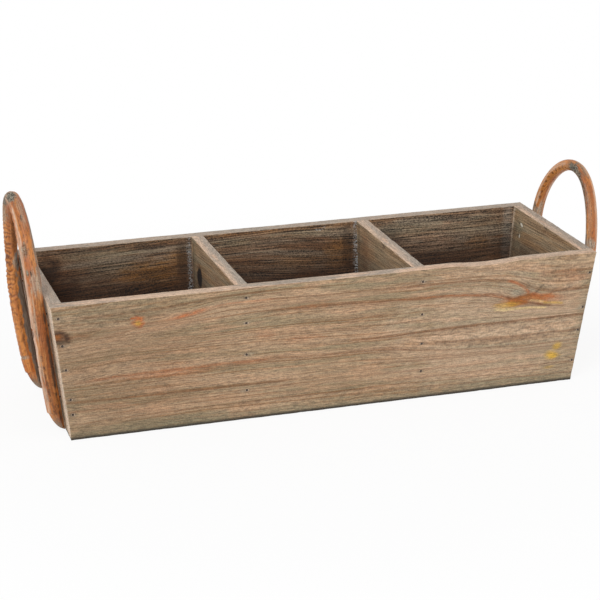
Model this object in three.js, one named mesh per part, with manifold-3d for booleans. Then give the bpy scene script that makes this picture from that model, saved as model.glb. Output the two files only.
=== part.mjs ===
// Three-compartment wooden planter trough with a bent-cane carrying handle nailed to each end.
// Millimetres, +Z up, origin under the middle of the trough, on the plane that it stands on.
// +X runs along the trough to its right end, and the front wall faces -Y.

import * as THREE from "three";
import { mergeVertices } from "three/addons/utils/BufferGeometryUtils.js";
import Module from "manifold-3d";

// Trough: outside sizes at the rim and at the floor
const TOP_LENGTH = 500;
const TOP_DEPTH = 174.5;
const BOTTOM_LENGTH = 470;
const BOTTOM_DEPTH = 148.5;
const HEIGHT = 127;

// Boards, measured square to their faces
const WALL_THICKNESS = 12;
const END_THICKNESS = 12;
const DIVIDER_THICKNESS = 12;
const BASE_THICKNESS = 12;
const COMPARTMENTS = 3;
const JOINT_GAP = 0.3;

// Worn dip in the front wall's top edge
const WANE_CENTRE = 145;
const WANE_LENGTH = 62;
const WANE_DEPTH = 1.8;

// Nails: one stock, cut to the length that each place needs
const NAIL_SHANK_RADIUS = 0.8;
const NAIL_HEAD_RADIUS = 1.1;
const NAIL_HEAD_THICKNESS = 0.9;
const NAIL_POINT_LENGTH = 2.4;
const NAIL_CLEARANCE = 0.3;
const NAIL_SINK = 0.3;
const WALL_NAIL_LENGTH = 25;
const BASE_NAIL_LENGTH = 27;
const BASE_NAIL_SPREAD = 64;

// Columns of wall nails: margins from the rim and floor, then each nail's place between the first and the
// last, and how far the column strays to +X from the middle of the board behind, as a share of the room there
const LEFT_END_COLUMN = { top: 11, bottom: 25, spots: [0, 0.28, 0.53, 0.84, 1], stray: [-0.1, -0.2] };
const RIGHT_END_COLUMN = { top: 20, bottom: 20.5, spots: [0, 0.39, 0.65, 1], stray: [0.65, 0.65] };
const DIVIDER_COLUMNS = [
  { top: 9.5, bottom: 29, spots: [0, 0.27, 0.61, 1], stray: [0.35, 0.75] },
  { top: 12, bottom: 27.5, spots: [0, 0.36, 0.69, 1], stray: [0.3, 0.85] },
];

// Handles: each is one bent cane, and its sizes are of its middle line. Its legs run beside the slanted edges of
// the end board, with this margin from them before offCentre shifts both legs the same way. Rises and drops run
// up and down the board's slope from the rim
const LEFT_HANDLE = {
  diameter: 12.5,
  margin: 7.8,
  offCentre: 4.2,
  rise: 71.1,
  bendStart: 20,
  seatOffset: 6.3,
  legBow: 2.2,
  apexLean: 1.6,
  footHeights: { front: 5.8, back: 1.8 },
};
const RIGHT_HANDLE = {
  diameter: 11.1,
  margin: 13.6,
  offCentre: -2.7,
  rise: 58.3,
  bendStart: 10,
  seatOffset: 5.4,
  legBow: 0.4,
  apexLean: 3.7,
  footHeights: { front: 6.8, back: 6.8 },
};
const SEAT_GAP = 0.3;
const SEAT_RISE = 9;
const SEAT_SHOULDER = 4;
const WHITTLE_LENGTH = 19;
const WHITTLE_SHARE = 0.55;
const RIM_NAIL_DROPS = [14, 25];
const NAIL_POKE_THROUGH = 1.6;
const CANE_NAIL_SINK = 0.7;

// Facets
const CANE_SIDES = 20;
const CANE_STEPS = 64;
const NAIL_SIDES = 8;
const WHITTLE_SIDES = 24;
const WHITTLE_RINGS = 8;
const WANE_SEGMENTS = 8;

// Cutters reach this far past what they cut
const REACH = 60;

const FIR = { color: 0xa9907a, roughness: 0.85, metalness: 0 };
const FIR_INSIDE = { color: 0x6b5a48, roughness: 0.9, metalness: 0 };
const CANE = { color: 0xcf8048, roughness: 0.55, metalness: 0 };
const STEEL = { color: 0x4d4843, roughness: 0.6, metalness: 0.7 };

// Slopes shared by everything that leans
const END_LEAN = Math.atan((TOP_LENGTH - BOTTOM_LENGTH) / 2 / HEIGHT);
const WALL_LEAN = Math.atan((TOP_DEPTH - BOTTOM_DEPTH) / 2 / HEIGHT);
const END_WIDTH = END_THICKNESS / Math.cos(END_LEAN);
const WALL_WIDTH = WALL_THICKNESS / Math.cos(WALL_LEAN);
const END_SLOPE = HEIGHT / Math.cos(END_LEAN);

// How much further apart the end board's edges get per millimetre up its slope, on each side
const EDGE_SPREAD = Math.tan(WALL_LEAN) * Math.cos(END_LEAN);

const outerX = (z) => BOTTOM_LENGTH / 2 + Math.tan(END_LEAN) * z;
const outerY = (z) => BOTTOM_DEPTH / 2 + Math.tan(WALL_LEAN) * z;
const innerX = (z) => outerX(z) - END_WIDTH;
const innerY = (z) => outerY(z) - WALL_WIDTH;

// Solids: geometry to manifold and back
const wasm = await Module();
wasm.setup();

function toSolid(geometry) {
  const bare = geometry.clone();
  bare.deleteAttribute("normal");
  bare.deleteAttribute("uv");
  const merged = mergeVertices(bare);
  return new wasm.Manifold(new wasm.Mesh({
    numProp: 3,
    vertProperties: new Float32Array(merged.attributes.position.array),
    triVerts: new Uint32Array(merged.index.array),
  }));
}

function toGeometry(solid) {
  const mesh = solid.getMesh();
  const geometry = new THREE.BufferGeometry();
  geometry.setAttribute("position", new THREE.BufferAttribute(new Float32Array(mesh.vertProperties), 3));
  geometry.setIndex(new THREE.BufferAttribute(new Uint32Array(mesh.triVerts), 1));
  geometry.computeVertexNormals();
  return geometry;
}

function cut(geometry, cutters) {
  let solid = toSolid(geometry);
  for (const cutter of cutters) solid = solid.subtract(toSolid(cutter));
  return toGeometry(solid);
}

// A leaning face's frame has its origin on the rim: x points out of the face, y along it, z up its slope
function faceFrame(distance, turn, lean) {
  const frame = new THREE.Group();
  frame.position.set(distance * Math.cos(turn), distance * Math.sin(turn), HEIGHT);
  frame.rotation.set(0, lean, turn, "ZYX");
  frame.updateMatrixWorld();
  return frame;
}

const rightFrame = faceFrame(TOP_LENGTH / 2, 0, END_LEAN);
const leftFrame = faceFrame(TOP_LENGTH / 2, Math.PI, END_LEAN);
const frontFrame = faceFrame(TOP_DEPTH / 2, -Math.PI / 2, WALL_LEAN);
const backFrame = faceFrame(TOP_DEPTH / 2, Math.PI / 2, WALL_LEAN);

// Boards
function mappedBox(map) {
  const geometry = new THREE.BoxGeometry(1, 1, 1);
  const corner = new THREE.Vector3();
  const position = geometry.attributes.position;
  for (let i = 0; i < position.count; i += 1) {
    corner.fromBufferAttribute(position, i).addScalar(0.5);
    position.setXYZ(i, ...map(corner.x, corner.y, corner.z));
  }
  return geometry;
}

function wallOutline(worn) {
  const outline = new THREE.Shape();
  outline.moveTo(-outerX(0), 0);
  outline.lineTo(outerX(0), 0);
  outline.lineTo(outerX(HEIGHT), HEIGHT);
  if (worn) {
    const right = WANE_CENTRE + WANE_LENGTH / 2;
    const left = WANE_CENTRE - WANE_LENGTH / 2;
    outline.lineTo(right, HEIGHT);
    outline.quadraticCurveTo(WANE_CENTRE, HEIGHT - 2 * WANE_DEPTH, left, HEIGHT);
  }
  outline.lineTo(-outerX(HEIGHT), HEIGHT);
  outline.closePath();
  return outline;
}

// The front wall: an upright outline extruded to the board's width, then sheared to its lean
function wallBoard(worn) {
  const geometry = new THREE.ExtrudeGeometry(wallOutline(worn), {
    depth: WALL_WIDTH,
    bevelEnabled: false,
    curveSegments: WANE_SEGMENTS,
  });
  geometry.rotateX(Math.PI / 2);
  geometry.applyMatrix4(new THREE.Matrix4().makeShear(0, 0, 0, 0, 0, -Math.tan(WALL_LEAN)));
  geometry.translate(0, -innerY(0), 0);
  return geometry;
}

function endBoard(side) {
  return mappedBox((u, v, w) => {
    const z = w * HEIGHT;
    const y = innerY(z) - JOINT_GAP;
    return [side * innerX(z) + (side > 0 ? u : u - 1) * END_WIDTH, (2 * v - 1) * y, z];
  });
}

function dividerBoard(x) {
  return mappedBox((u, v, w) => {
    const z = BASE_THICKNESS + JOINT_GAP + w * (HEIGHT - BASE_THICKNESS - JOINT_GAP);
    const y = innerY(z) - JOINT_GAP;
    return [x + (u - 0.5) * DIVIDER_THICKNESS, (2 * v - 1) * y, z];
  });
}

function baseBoard() {
  return mappedBox((u, v, w) => {
    const z = w * BASE_THICKNESS;
    return [(2 * u - 1) * (innerX(z) - JOINT_GAP), (2 * v - 1) * (innerY(z) - JOINT_GAP), z];
  });
}

const compartmentLength = (2 * innerX(HEIGHT) - (COMPARTMENTS - 1) * DIVIDER_THICKNESS) / COMPARTMENTS;
const dividerX = Array.from({ length: COMPARTMENTS - 1 }, (_, i) =>
  (i + 1) * (compartmentLength + DIVIDER_THICKNESS) - DIVIDER_THICKNESS / 2 - innerX(HEIGHT));

// Nails lie along their frame's x axis: the head's face at x = 0 and the point on the -x side
function nailGeometry(length) {
  const profile = [
    [0, 0],
    [NAIL_SHANK_RADIUS, NAIL_POINT_LENGTH],
    [NAIL_SHANK_RADIUS, length - NAIL_HEAD_THICKNESS],
    [NAIL_HEAD_RADIUS, length - NAIL_HEAD_THICKNESS],
    [NAIL_HEAD_RADIUS, length],
    [0, length],
  ].map(([radius, along]) => new THREE.Vector2(radius, along));
  const geometry = new THREE.LatheGeometry(profile, NAIL_SIDES);
  geometry.translate(0, -length, 0);
  geometry.rotateZ(-Math.PI / 2);
  return geometry;
}

// A round hole from x = from down to x = to in the same frame
function bore(radius, from, to) {
  const geometry = new THREE.CylinderGeometry(radius, radius, from - to, NAIL_SIDES);
  geometry.rotateZ(-Math.PI / 2);
  geometry.translate((from + to) / 2, 0, 0);
  return geometry;
}

// One nail: where it goes, how long it is, how deep its head is sunk and how thick the outer piece is
class Nail {
  constructor(name, frame, { x, y, z, length, outer }) {
    this.name = name;
    this.frame = frame;
    this.place = new THREE.Vector3(x, y, z);
    this.length = length;
    this.outer = outer;
  }

  placed(geometry) {
    geometry.translate(...this.place);
    geometry.applyMatrix4(this.frame.matrixWorld);
    return geometry;
  }

  // The hole through the outer piece lets the head pass, and the one beyond it fits the shank
  headHole() {
    return this.placed(bore(NAIL_HEAD_RADIUS + NAIL_CLEARANCE, REACH, -this.outer - JOINT_GAP / 2));
  }

  shankHole(from, to) {
    return this.placed(bore(NAIL_SHANK_RADIUS + NAIL_CLEARANCE, from, to));
  }

  pilotHole() {
    return this.shankHole(-this.outer + JOINT_GAP, -this.length - NAIL_CLEARANCE);
  }

  mesh() {
    const mesh = new THREE.Mesh(nailGeometry(this.length), new THREE.MeshStandardMaterial(STEEL));
    mesh.name = this.name;
    mesh.position.copy(this.place);
    return mesh;
  }
}

// Wall nails: a column over each end board and each divider, alike on the front and the back
function columnSpots(column, middleX, boardWidth) {
  const slope = HEIGHT / Math.cos(WALL_LEAN);
  const room = boardWidth / 2 - NAIL_HEAD_RADIUS - NAIL_CLEARANCE;
  return column.spots.map((spot) => {
    const z = -(column.top + spot * (slope - column.top - column.bottom));
    const stray = THREE.MathUtils.lerp(column.stray[0], column.stray[1], spot);
    return { x: middleX(HEIGHT + z * Math.cos(WALL_LEAN)) + stray * room, z };
  });
}

const endMiddle = (z) => outerX(z) - END_WIDTH / 2;
const columns = [
  { board: "left_end_board", spots: columnSpots(LEFT_END_COLUMN, (z) => -endMiddle(z), END_WIDTH) },
  ...dividerX.map((x, i) => ({
    board: `divider_${i + 1}`,
    spots: columnSpots(DIVIDER_COLUMNS[i % DIVIDER_COLUMNS.length], () => x, DIVIDER_THICKNESS),
  })),
  { board: "right_end_board", spots: columnSpots(RIGHT_END_COLUMN, endMiddle, END_WIDTH) },
];

function wallNails(name, frame, mirror) {
  const nails = [];
  for (const { board, spots } of columns) {
    for (const { x, z } of spots) {
      const number = String(nails.length + 1).padStart(2, "0");
      const nail = new Nail(`${name}_${number}`, frame, {
        x: -NAIL_SINK,
        y: mirror * x,
        z,
        length: WALL_NAIL_LENGTH,
        outer: WALL_THICKNESS - NAIL_SINK,
      });
      nail.board = board;
      nails.push(nail);
    }
  }
  return nails;
}

// Base nails: through each end board into the end grain of the base
function baseNails(name, frame) {
  const drop = (HEIGHT - BASE_THICKNESS / 2) / Math.cos(END_LEAN);
  return [-1, 1].map((side, i) => {
    const nail = new Nail(`${name}_${i + 1}`, frame, {
      x: -NAIL_SINK,
      y: (side * BASE_NAIL_SPREAD) / 2,
      z: -drop,
      length: BASE_NAIL_LENGTH,
      outer: END_THICKNESS - NAIL_SINK,
    });
    nail.board = "base_board";
    return nail;
  });
}

// A leg's lowest nail crosses the end board half way between the points of the two lowest wall nails there
function lowestDrop(wallSpots) {
  const [upper, lower] = wallSpots.slice(-2);
  const wallDrop = -(upper.z + lower.z) / 2;
  const height = HEIGHT - wallDrop * Math.cos(WALL_LEAN) + WALL_NAIL_LENGTH * Math.sin(WALL_LEAN);
  return (HEIGHT + (END_THICKNESS / 2) * Math.sin(END_LEAN) - height) / Math.cos(END_LEAN);
}

// Handles: the middle line of one cane, in the frame of its end board. The straight legs run beside the board's
// edges up to where they touch an ellipse, whose middle lies bendStart under the rim, and the arch follows it
class CaneLine extends THREE.Curve {
  constructor(handle, mirror, wallSpots) {
    super();
    this.handle = handle;
    this.mirror = mirror;
    this.lowestDrop = lowestDrop(wallSpots);
    this.archHeight = handle.rise + handle.bendStart;
    const spread = EDGE_SPREAD * this.archHeight;
    const reach = this.straightReach(-handle.bendStart);
    this.halfSpacing = Math.sqrt(reach ** 2 - spread ** 2);
    this.bendAngle = Math.asin(spread / reach);
    this.legTop = -handle.bendStart - this.archHeight * Math.sin(this.bendAngle);
    this.archLength = Math.PI * Math.sqrt((this.archHeight ** 2 + this.halfSpacing ** 2) / 2);
    this.legLengths = [-1, 1].map((side) => this.legTop + this.footDrop(side));
  }

  footDrop(side) {
    const { front, back } = this.handle.footHeights;
    return END_SLOPE - (side * this.mirror < 0 ? front : back) / Math.cos(END_LEAN);
  }

  // Half the distance between the straight legs, carried on above them
  straightReach(z) {
    return innerY(HEIGHT) + EDGE_SPREAD * z - this.handle.margin;
  }

  legY(side, z) {
    const share = (z + this.handle.bendStart) / this.archHeight;
    const reach = z < this.legTop ? this.straightReach(z) : this.halfSpacing * Math.sqrt(1 - share ** 2);
    return this.mirror * this.handle.offCentre + side * reach;
  }

  // Distance from the board's face: the legs bow out between the rim and the foot
  offset(z) {
    const { seatOffset, legBow, apexLean, rise } = this.handle;
    if (z > 0) return seatOffset - (4 * legBow * z) / END_SLOPE + apexLean * (z / rise) ** 2;
    return seatOffset + legBow * (1 - (1 + (2 * z) / END_SLOPE) ** 2);
  }

  getPoint(t, target = new THREE.Vector3()) {
    const [first, last] = this.legLengths;
    const fromStart = t * (first + this.archLength + last) - first;
    const toEnd = this.archLength - fromStart;
    if (fromStart < 0 || toEnd < 0) {
      const side = fromStart < 0 ? -1 : 1;
      const z = this.legTop + Math.min(fromStart, toEnd);
      return target.set(this.offset(z), this.legY(side, z), z);
    }
    const angle = (fromStart / this.archLength) * (Math.PI + 2 * this.bendAngle) - this.bendAngle;
    const z = this.archHeight * Math.sin(angle) - this.handle.bendStart;
    return target.set(this.offset(z), this.legY(-Math.sign(Math.cos(angle)), z), z);
  }
}

function caneGeometry(line, radius) {
  const rim = Array.from({ length: CANE_SIDES }, (_, i) => {
    const angle = (2 * Math.PI * i) / CANE_SIDES;
    return new THREE.Vector2(radius * Math.cos(angle), radius * Math.sin(angle));
  });
  return new THREE.ExtrudeGeometry(new THREE.Shape(rim), { steps: CANE_STEPS, extrudePath: line });
}

// The sawn seat: everything on the board's side of the face, up to a sloping shoulder over the rim
function seatCutter(line) {
  const outline = new THREE.Shape();
  outline.moveTo(-REACH, -END_SLOPE - REACH);
  outline.lineTo(SEAT_GAP, -END_SLOPE - REACH);
  outline.lineTo(SEAT_GAP, SEAT_RISE);
  outline.lineTo(-line.handle.diameter / 2, SEAT_RISE + SEAT_SHOULDER);
  outline.lineTo(-REACH, SEAT_RISE + SEAT_SHOULDER);
  outline.closePath();
  const length = 2 * line.halfSpacing + 2 * REACH;
  const geometry = new THREE.ExtrudeGeometry(outline, { depth: length, bevelEnabled: false });
  geometry.rotateX(Math.PI / 2);
  geometry.translate(0, length / 2, 0);
  return geometry;
}

// What the whittling takes off a foot: a block, less the half of a blunt bullet that stands on the seat.
// The bullet is as wide and as thick as the leg where the whittling ends
function whittleCutter(line, side) {
  const { seatOffset, diameter } = line.handle;
  const thickness = seatOffset + diameter / 2 - SEAT_GAP;
  const dome = WHITTLE_LENGTH / (1 - Math.sqrt(1 - WHITTLE_SHARE ** 2));
  const profile = [];
  for (let ring = 0; ring <= WHITTLE_RINGS; ring += 1) {
    const angle = (Math.PI / 2) * (ring / WHITTLE_RINGS);
    profile.push(new THREE.Vector2(Math.sin(angle), dome * (1 - Math.cos(angle))));
  }
  profile.push(new THREE.Vector2(0, dome));
  const bullet = new THREE.LatheGeometry(profile, WHITTLE_SIDES);
  bullet.rotateX(Math.PI / 2);
  bullet.scale(thickness / WHITTLE_SHARE, diameter / 2 / WHITTLE_SHARE, 1);
  bullet.translate(SEAT_GAP, 0, 0);
  const block = new THREE.BoxGeometry(2 * REACH, 2 * diameter, WHITTLE_LENGTH + REACH);
  block.translate(0, 0, WHITTLE_LENGTH - (WHITTLE_LENGTH + REACH) / 2);
  const foot = -line.footDrop(side);
  for (const geometry of [bullet, block]) {
    geometry.rotateX(-side * Math.atan(EDGE_SPREAD));
    geometry.translate(0, line.legY(side, foot), foot);
  }
  return toSolid(block).subtract(toSolid(bullet));
}

function legNails(name, frame, line) {
  const nails = [];
  for (const side of [-1, 1]) {
    for (const drop of [...RIM_NAIL_DROPS, line.lowestDrop]) {
      const x = line.offset(-drop) + line.handle.diameter / 2 - CANE_NAIL_SINK;
      nails.push(new Nail(`${name}_nail_${nails.length + 1}`, frame, {
        x,
        y: line.legY(side, -drop),
        z: -drop,
        length: x + END_THICKNESS + NAIL_POKE_THROUGH,
        outer: x,
      }));
    }
  }
  return nails;
}

// One handle: the cane swept along its line, its legs whittled and sawn flat, and drilled for its nails
function handleGeometry(line, nails) {
  let cane = toSolid(caneGeometry(line, line.handle.diameter / 2));
  for (const side of [-1, 1]) cane = cane.subtract(whittleCutter(line, side));
  cane = cane.subtract(toSolid(seatCutter(line)));
  for (const nail of nails) {
    const hole = bore(NAIL_HEAD_RADIUS + NAIL_CLEARANCE, REACH, -nail.outer - JOINT_GAP);
    hole.translate(...nail.place);
    cane = cane.subtract(toSolid(hole));
  }
  return toGeometry(cane);
}

// Assembly
function meshOf(name, geometry, finish) {
  const mesh = new THREE.Mesh(geometry, new THREE.MeshStandardMaterial(finish));
  mesh.name = name;
  return mesh;
}

const frontNails = wallNails("front_nail", frontFrame, 1);
const backNails = wallNails("back_nail", backFrame, -1);
const leftBaseNails = baseNails("left_base_nail", leftFrame);
const rightBaseNails = baseNails("right_base_nail", rightFrame);
const leftLine = new CaneLine(LEFT_HANDLE, -1, columns[0].spots);
const rightLine = new CaneLine(RIGHT_HANDLE, 1, columns.at(-1).spots);
const leftLegNails = legNails("left_handle", leftFrame, leftLine);
const rightLegNails = legNails("right_handle", rightFrame, rightLine);

const throughEnd = (nail) => nail.shankHole(0, -nail.length - REACH);
const pilotsIn = (board) => [...frontNails, ...backNails, ...leftBaseNails, ...rightBaseNails]
  .filter((nail) => nail.board === board)
  .map((nail) => nail.pilotHole());

function endCutters(name, base, leg) {
  return [...pilotsIn(name), ...base.map((nail) => nail.headHole()), ...leg.map(throughEnd)];
}

const leftCutters = endCutters("left_end_board", leftBaseNails, leftLegNails);
const rightCutters = endCutters("right_end_board", rightBaseNails, rightLegNails);
const planter = new THREE.Group();
planter.add(
  meshOf("front_board", cut(wallBoard(true), frontNails.map((nail) => nail.headHole())), FIR),
  meshOf("back_board", cut(wallBoard(false).rotateZ(Math.PI), backNails.map((nail) => nail.headHole())), FIR),
  meshOf("left_end_board", cut(endBoard(-1), leftCutters), FIR),
  meshOf("right_end_board", cut(endBoard(1), rightCutters), FIR),
  meshOf("base_board", cut(baseBoard(), pilotsIn("base_board")), FIR_INSIDE),
);
dividerX.forEach((x, i) => {
  const name = `divider_${i + 1}`;
  planter.add(meshOf(name, cut(dividerBoard(x), pilotsIn(name)), FIR_INSIDE));
});

leftFrame.add(meshOf("left_handle", handleGeometry(leftLine, leftLegNails), CANE));
rightFrame.add(meshOf("right_handle", handleGeometry(rightLine, rightLegNails), CANE));
for (const nail of [...frontNails, ...backNails, ...leftBaseNails, ...rightBaseNails,
  ...leftLegNails, ...rightLegNails]) {
  nail.frame.add(nail.mesh());
}
planter.add(frontFrame, backFrame, leftFrame, rightFrame);

export default planter;
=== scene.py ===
"""Weathered three-compartment planter trough with bent-cane handles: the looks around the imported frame."""

import math

import bpy
import numpy as np
from mathutils import Matrix, Vector


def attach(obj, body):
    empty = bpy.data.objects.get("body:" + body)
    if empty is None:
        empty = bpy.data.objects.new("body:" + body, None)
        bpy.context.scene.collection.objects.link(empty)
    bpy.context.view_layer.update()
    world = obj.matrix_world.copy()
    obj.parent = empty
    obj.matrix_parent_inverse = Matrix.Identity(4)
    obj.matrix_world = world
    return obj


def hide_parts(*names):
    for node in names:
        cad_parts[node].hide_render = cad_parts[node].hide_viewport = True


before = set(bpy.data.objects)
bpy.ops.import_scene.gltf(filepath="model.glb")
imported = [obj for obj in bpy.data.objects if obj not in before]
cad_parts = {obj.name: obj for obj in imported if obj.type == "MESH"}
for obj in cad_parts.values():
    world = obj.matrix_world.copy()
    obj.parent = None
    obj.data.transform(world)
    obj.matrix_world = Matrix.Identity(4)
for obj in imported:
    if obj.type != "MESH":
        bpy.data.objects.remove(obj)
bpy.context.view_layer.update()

MM = 0.001

# Camera, fitted to the photo's view of the trough
LENS_MM = 117.9
SENSOR_MM = 36
CAMERA_PLACE = (-0.50797, -1.62875, 0.65760)
CAMERA_AZIMUTH = math.radians(17.17)
CAMERA_ELEVATION = math.radians(18.72)
CAMERA_ROLL = math.radians(0.38)

# Boards
EDGE_RADIUS = 0.9 * MM
TIGHT_EDGE = 0.35
ALONG_STEP = 2.0 * MM
ACROSS_STEP = 1.0 * MM
THICK_STEP = 1.2 * MM
LEVEL_TOLERANCE = 0.02 * MM
JOINT_FILL = 0.8 * MM
TIGHT_REACH = 4 * MM
EDGE_LINES = (0, 0.3, 0.7, 1.2, 1.9)
BOARD_CREASE = math.radians(50)

# The axes that a board runs along, across and through, as 0, 1 and 2 for X, Y and Z
WALL_SIDES = (0, 2, 1)
END_SIDES = (1, 2, 0)
SLAB_SIDES = (0, 1, 2)

# Relief of the boards, in millimetres
LINE_DEPTH = 0.10
FIBRE_DEPTH = 0.05
WAVE_DEPTH = 0.06
SAW_DEPTH = 0.03
CHIP_DEPTH = 0.45

# The front wall's wane, as on the CAD node
WANE_CENTRE = 145 * MM
WANE_LENGTH = 62 * MM
WANE_DEPTH = 1.8 * MM
WANE_REACH = 12 * MM

# Nail holes in the boards and canes. OFF_AXIS is a direction that no nail has
PIT_RADIUS = 1.2 * MM
PIT_DEPTH = 1.6 * MM
PIT_SIDES = 20
OFF_AXIS = (0.3, 0.5, 0.8)

# Handles, in millimetres: the middle line of each cane, as on the CAD nodes. Only the left handle's feet
# reach further down than there, by 1.8 and 1.2 mm
LEFT_HANDLE = {
    "diameter": 12.5, "margin": 7.8, "off_centre": 4.2, "rise": 71.1, "bend_start": 20,
    "seat_offset": 6.3, "leg_bow": 2.2, "apex_lean": 1.6, "front_foot": 4.0, "back_foot": 0.6,
}
RIGHT_HANDLE = {
    "diameter": 11.1, "margin": 13.6, "off_centre": -2.7, "rise": 58.3, "bend_start": 10,
    "seat_offset": 5.4, "leg_bow": 0.4, "apex_lean": 3.7, "front_foot": 6.8, "back_foot": 6.8,
}
JOINT_GAP = 0.3
SEAT_GAP = 0.3
SEAT_RISE = 9
SEAT_SHOULDER = 4
WHITTLE_LENGTH = 18
TIP_DRIFT = 0.5
WHITTLE_SHARE = 0.85
CANE_STEP = 0.8
CANE_SIDES = 64
CANE_CREASE = math.radians(60)

# Relief of the canes, in millimetres. A node is a groove with a low lip beyond it
SWELL = 1.5
FOLD_DEPTH = 0.8
BARK_DEPTH = 0.25
NODE_DEPTH = 0.45
NODE_WIDTH = 0.9
NODE_LIP = 0.12
NODE_LIP_PLACE = 2.6
NODE_LIP_WIDTH = 2


def new_object(name, data):
    thing = bpy.data.objects.new(name, data)
    bpy.context.scene.collection.objects.link(thing)
    return thing


def new_camera():
    """The camera: it looks along +Y turned towards +X, tilted down, with a slight roll."""
    data = bpy.data.cameras.new("camera")
    data.lens = LENS_MM
    data.sensor_width = SENSOR_MM
    camera = new_object("camera", data)
    tilt = Matrix.Rotation(math.pi / 2 - CAMERA_ELEVATION, 4, "X")
    turn = Matrix.Rotation(-CAMERA_AZIMUTH, 4, "Z") @ tilt @ Matrix.Rotation(-CAMERA_ROLL, 4, "Z")
    camera.matrix_world = Matrix.Translation(CAMERA_PLACE) @ turn
    bpy.context.scene.camera = camera


# Noise for shapes
def lattice_value(i, j, k, seed):
    """A fixed number from -1 to 1 for each lattice point."""
    mixed = (i * 374761393 + j * 668265263 + k * 1442695041 + seed * 1274126177) & 0xFFFFFFFF
    mixed = ((mixed ^ (mixed >> 13)) * 1103515245) & 0xFFFFFFFF
    return ((mixed ^ (mixed >> 16)) & 0xFFFF) / 32767.5 - 1


def noise(points, scale, seed=0):
    """Smooth noise from -1 to 1 at each point. scale is the size of its lumps, one number or one per axis."""
    places = np.asarray(points, float) / np.asarray(scale, float)
    base = np.floor(places).astype(np.int64)
    share = places - base
    share = share * share * (3 - 2 * share)
    total = np.zeros(len(places))
    for corner in np.ndindex(2, 2, 2):
        weight = np.prod(np.where(corner, share, 1 - share), axis=1)
        total += weight * lattice_value(*(base + corner).T, seed)
    return total


def smooth(low, high, value):
    """0 below low, 1 above high and a smooth rise between them."""
    t = np.clip((value - low) / (high - low), 0, 1)
    return t * t * (3 - 2 * t)


# Meshes
def new_mesh(name, points, faces):
    mesh = bpy.data.meshes.new(name)
    mesh.from_pydata(points.tolist(), [], faces)
    mesh.validate()
    mesh.update()
    return new_object(name, mesh)


def read_vectors(items, name):
    values = np.empty(len(items) * 3)
    items.foreach_get(name, values)
    return values.reshape(-1, 3)


def mesh_points(mesh):
    return read_vectors(mesh.vertices, "co")


def store_fields(mesh, fields):
    """Stores one number or one vector per vertex under each name, for the materials to read."""
    for name, values in fields.items():
        values = np.asarray(values, np.float32)
        kind, key = ("FLOAT_VECTOR", "vector") if values.ndim == 2 else ("FLOAT", "value")
        mesh.attributes.new(name, kind, "POINT").data.foreach_set(key, values.ravel())


def smooth_over(piece, crease):
    """Smooth shading that stops at edges sharper than the crease."""
    piece.data.shade_smooth()
    piece.data.set_sharp_from_angle(angle=crease)


def finish_piece(piece, node, material):
    """A finished mesh takes the place of its CAD node on the one body."""
    piece.data.materials.clear()
    piece.data.materials.append(material)
    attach(piece, "root")
    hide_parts(node)


# Nails: the CAD nodes stay, and what replaces the wood around them is drilled
def nail_head(node):
    """(middle of the head's face, unit vector from the point to the head) of a CAD nail."""
    points = mesh_points(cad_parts[node].data)
    middle = points.mean(0)
    axis = np.linalg.svd(points - middle)[2][0]
    along = (points - middle) @ axis
    radius = np.linalg.norm(points - middle - np.outer(along, axis), axis=1)
    if radius[along > 0].max() < radius[along < 0].max():
        axis, along = -axis, -along
    return middle + axis * along.max(), axis


def drill(piece, nails):
    """Cuts a round pit for the head of each of these nails."""
    rings = []
    faces = []
    turn = np.linspace(0, 2 * math.pi, PIT_SIDES, endpoint=False)
    for node in nails:
        head, axis = nail_head(node)
        side = np.cross(axis, OFF_AXIS)
        side /= np.linalg.norm(side)
        other = np.cross(axis, side)
        ring = PIT_RADIUS * (np.outer(np.cos(turn), side) + np.outer(np.sin(turn), other))
        start = len(rings) * PIT_SIDES
        rings += [head - axis * PIT_DEPTH + ring, head + axis * PIT_DEPTH * 2 + ring]
        low = [start + i for i in range(PIT_SIDES)]
        high = [i + PIT_SIDES for i in low]
        faces += [low[::-1], high]
        faces += [[a, b, b + PIT_SIDES, a + PIT_SIDES] for a, b in zip(low, low[1:] + low[:1])]
    cutter = new_mesh("pits", np.concatenate(rings), faces)
    cut = piece.modifiers.new("pits", "BOOLEAN")
    cut.operation = "DIFFERENCE"
    cut.solver = "MANIFOLD"
    cut.object = cutter
    depsgraph = bpy.context.evaluated_depsgraph_get()
    drilled = bpy.data.meshes.new_from_object(piece.evaluated_get(depsgraph))
    piece.modifiers.clear()
    piece.data = drilled
    bpy.data.objects.remove(cutter)


def nails_of(prefix):
    return sorted(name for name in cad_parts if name.startswith(prefix))


# Boards
class Board:
    """A board of the frame: a block whose lengths along X and Y change evenly from bottom to top.

    Places in it are shares from 0 to 1 of its lengths along X, Y and Z.
    """

    def __init__(self, node, along, across, thick, outside):
        points = mesh_points(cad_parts[node].data)
        self.node = node
        self.along, self.across, self.thick, self.outside = along, across, thick, outside
        self.low, self.high = points[:, 2].min(), points[:, 2].max()
        bottom = points[points[:, 2] < self.low + LEVEL_TOLERANCE, :2]
        top = points[points[:, 2] > self.high - LEVEL_TOLERANCE, :2]
        self.bottom = bottom.min(0), bottom.max(0)
        self.top = top.min(0), top.max(0)

    def ends(self, share):
        """The lowest and highest X and Y at each share of the height."""
        return tuple(b + np.outer(share, t - b) for b, t in zip(self.bottom, self.top))

    def to_world(self, shares):
        low, high = self.ends(shares[:, 2])
        flat = low + shares[:, :2] * (high - low)
        return np.column_stack([flat, self.low + shares[:, 2] * (self.high - self.low)])

    def to_shares(self, points):
        height = (points[:, 2] - self.low) / (self.high - self.low)
        low, high = self.ends(height)
        return np.column_stack([(points[:, :2] - low) / (high - low), height])

    def lengths(self):
        low, high = self.ends(np.array([1.0]))
        return np.array([*(high - low)[0], self.high - self.low])


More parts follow.
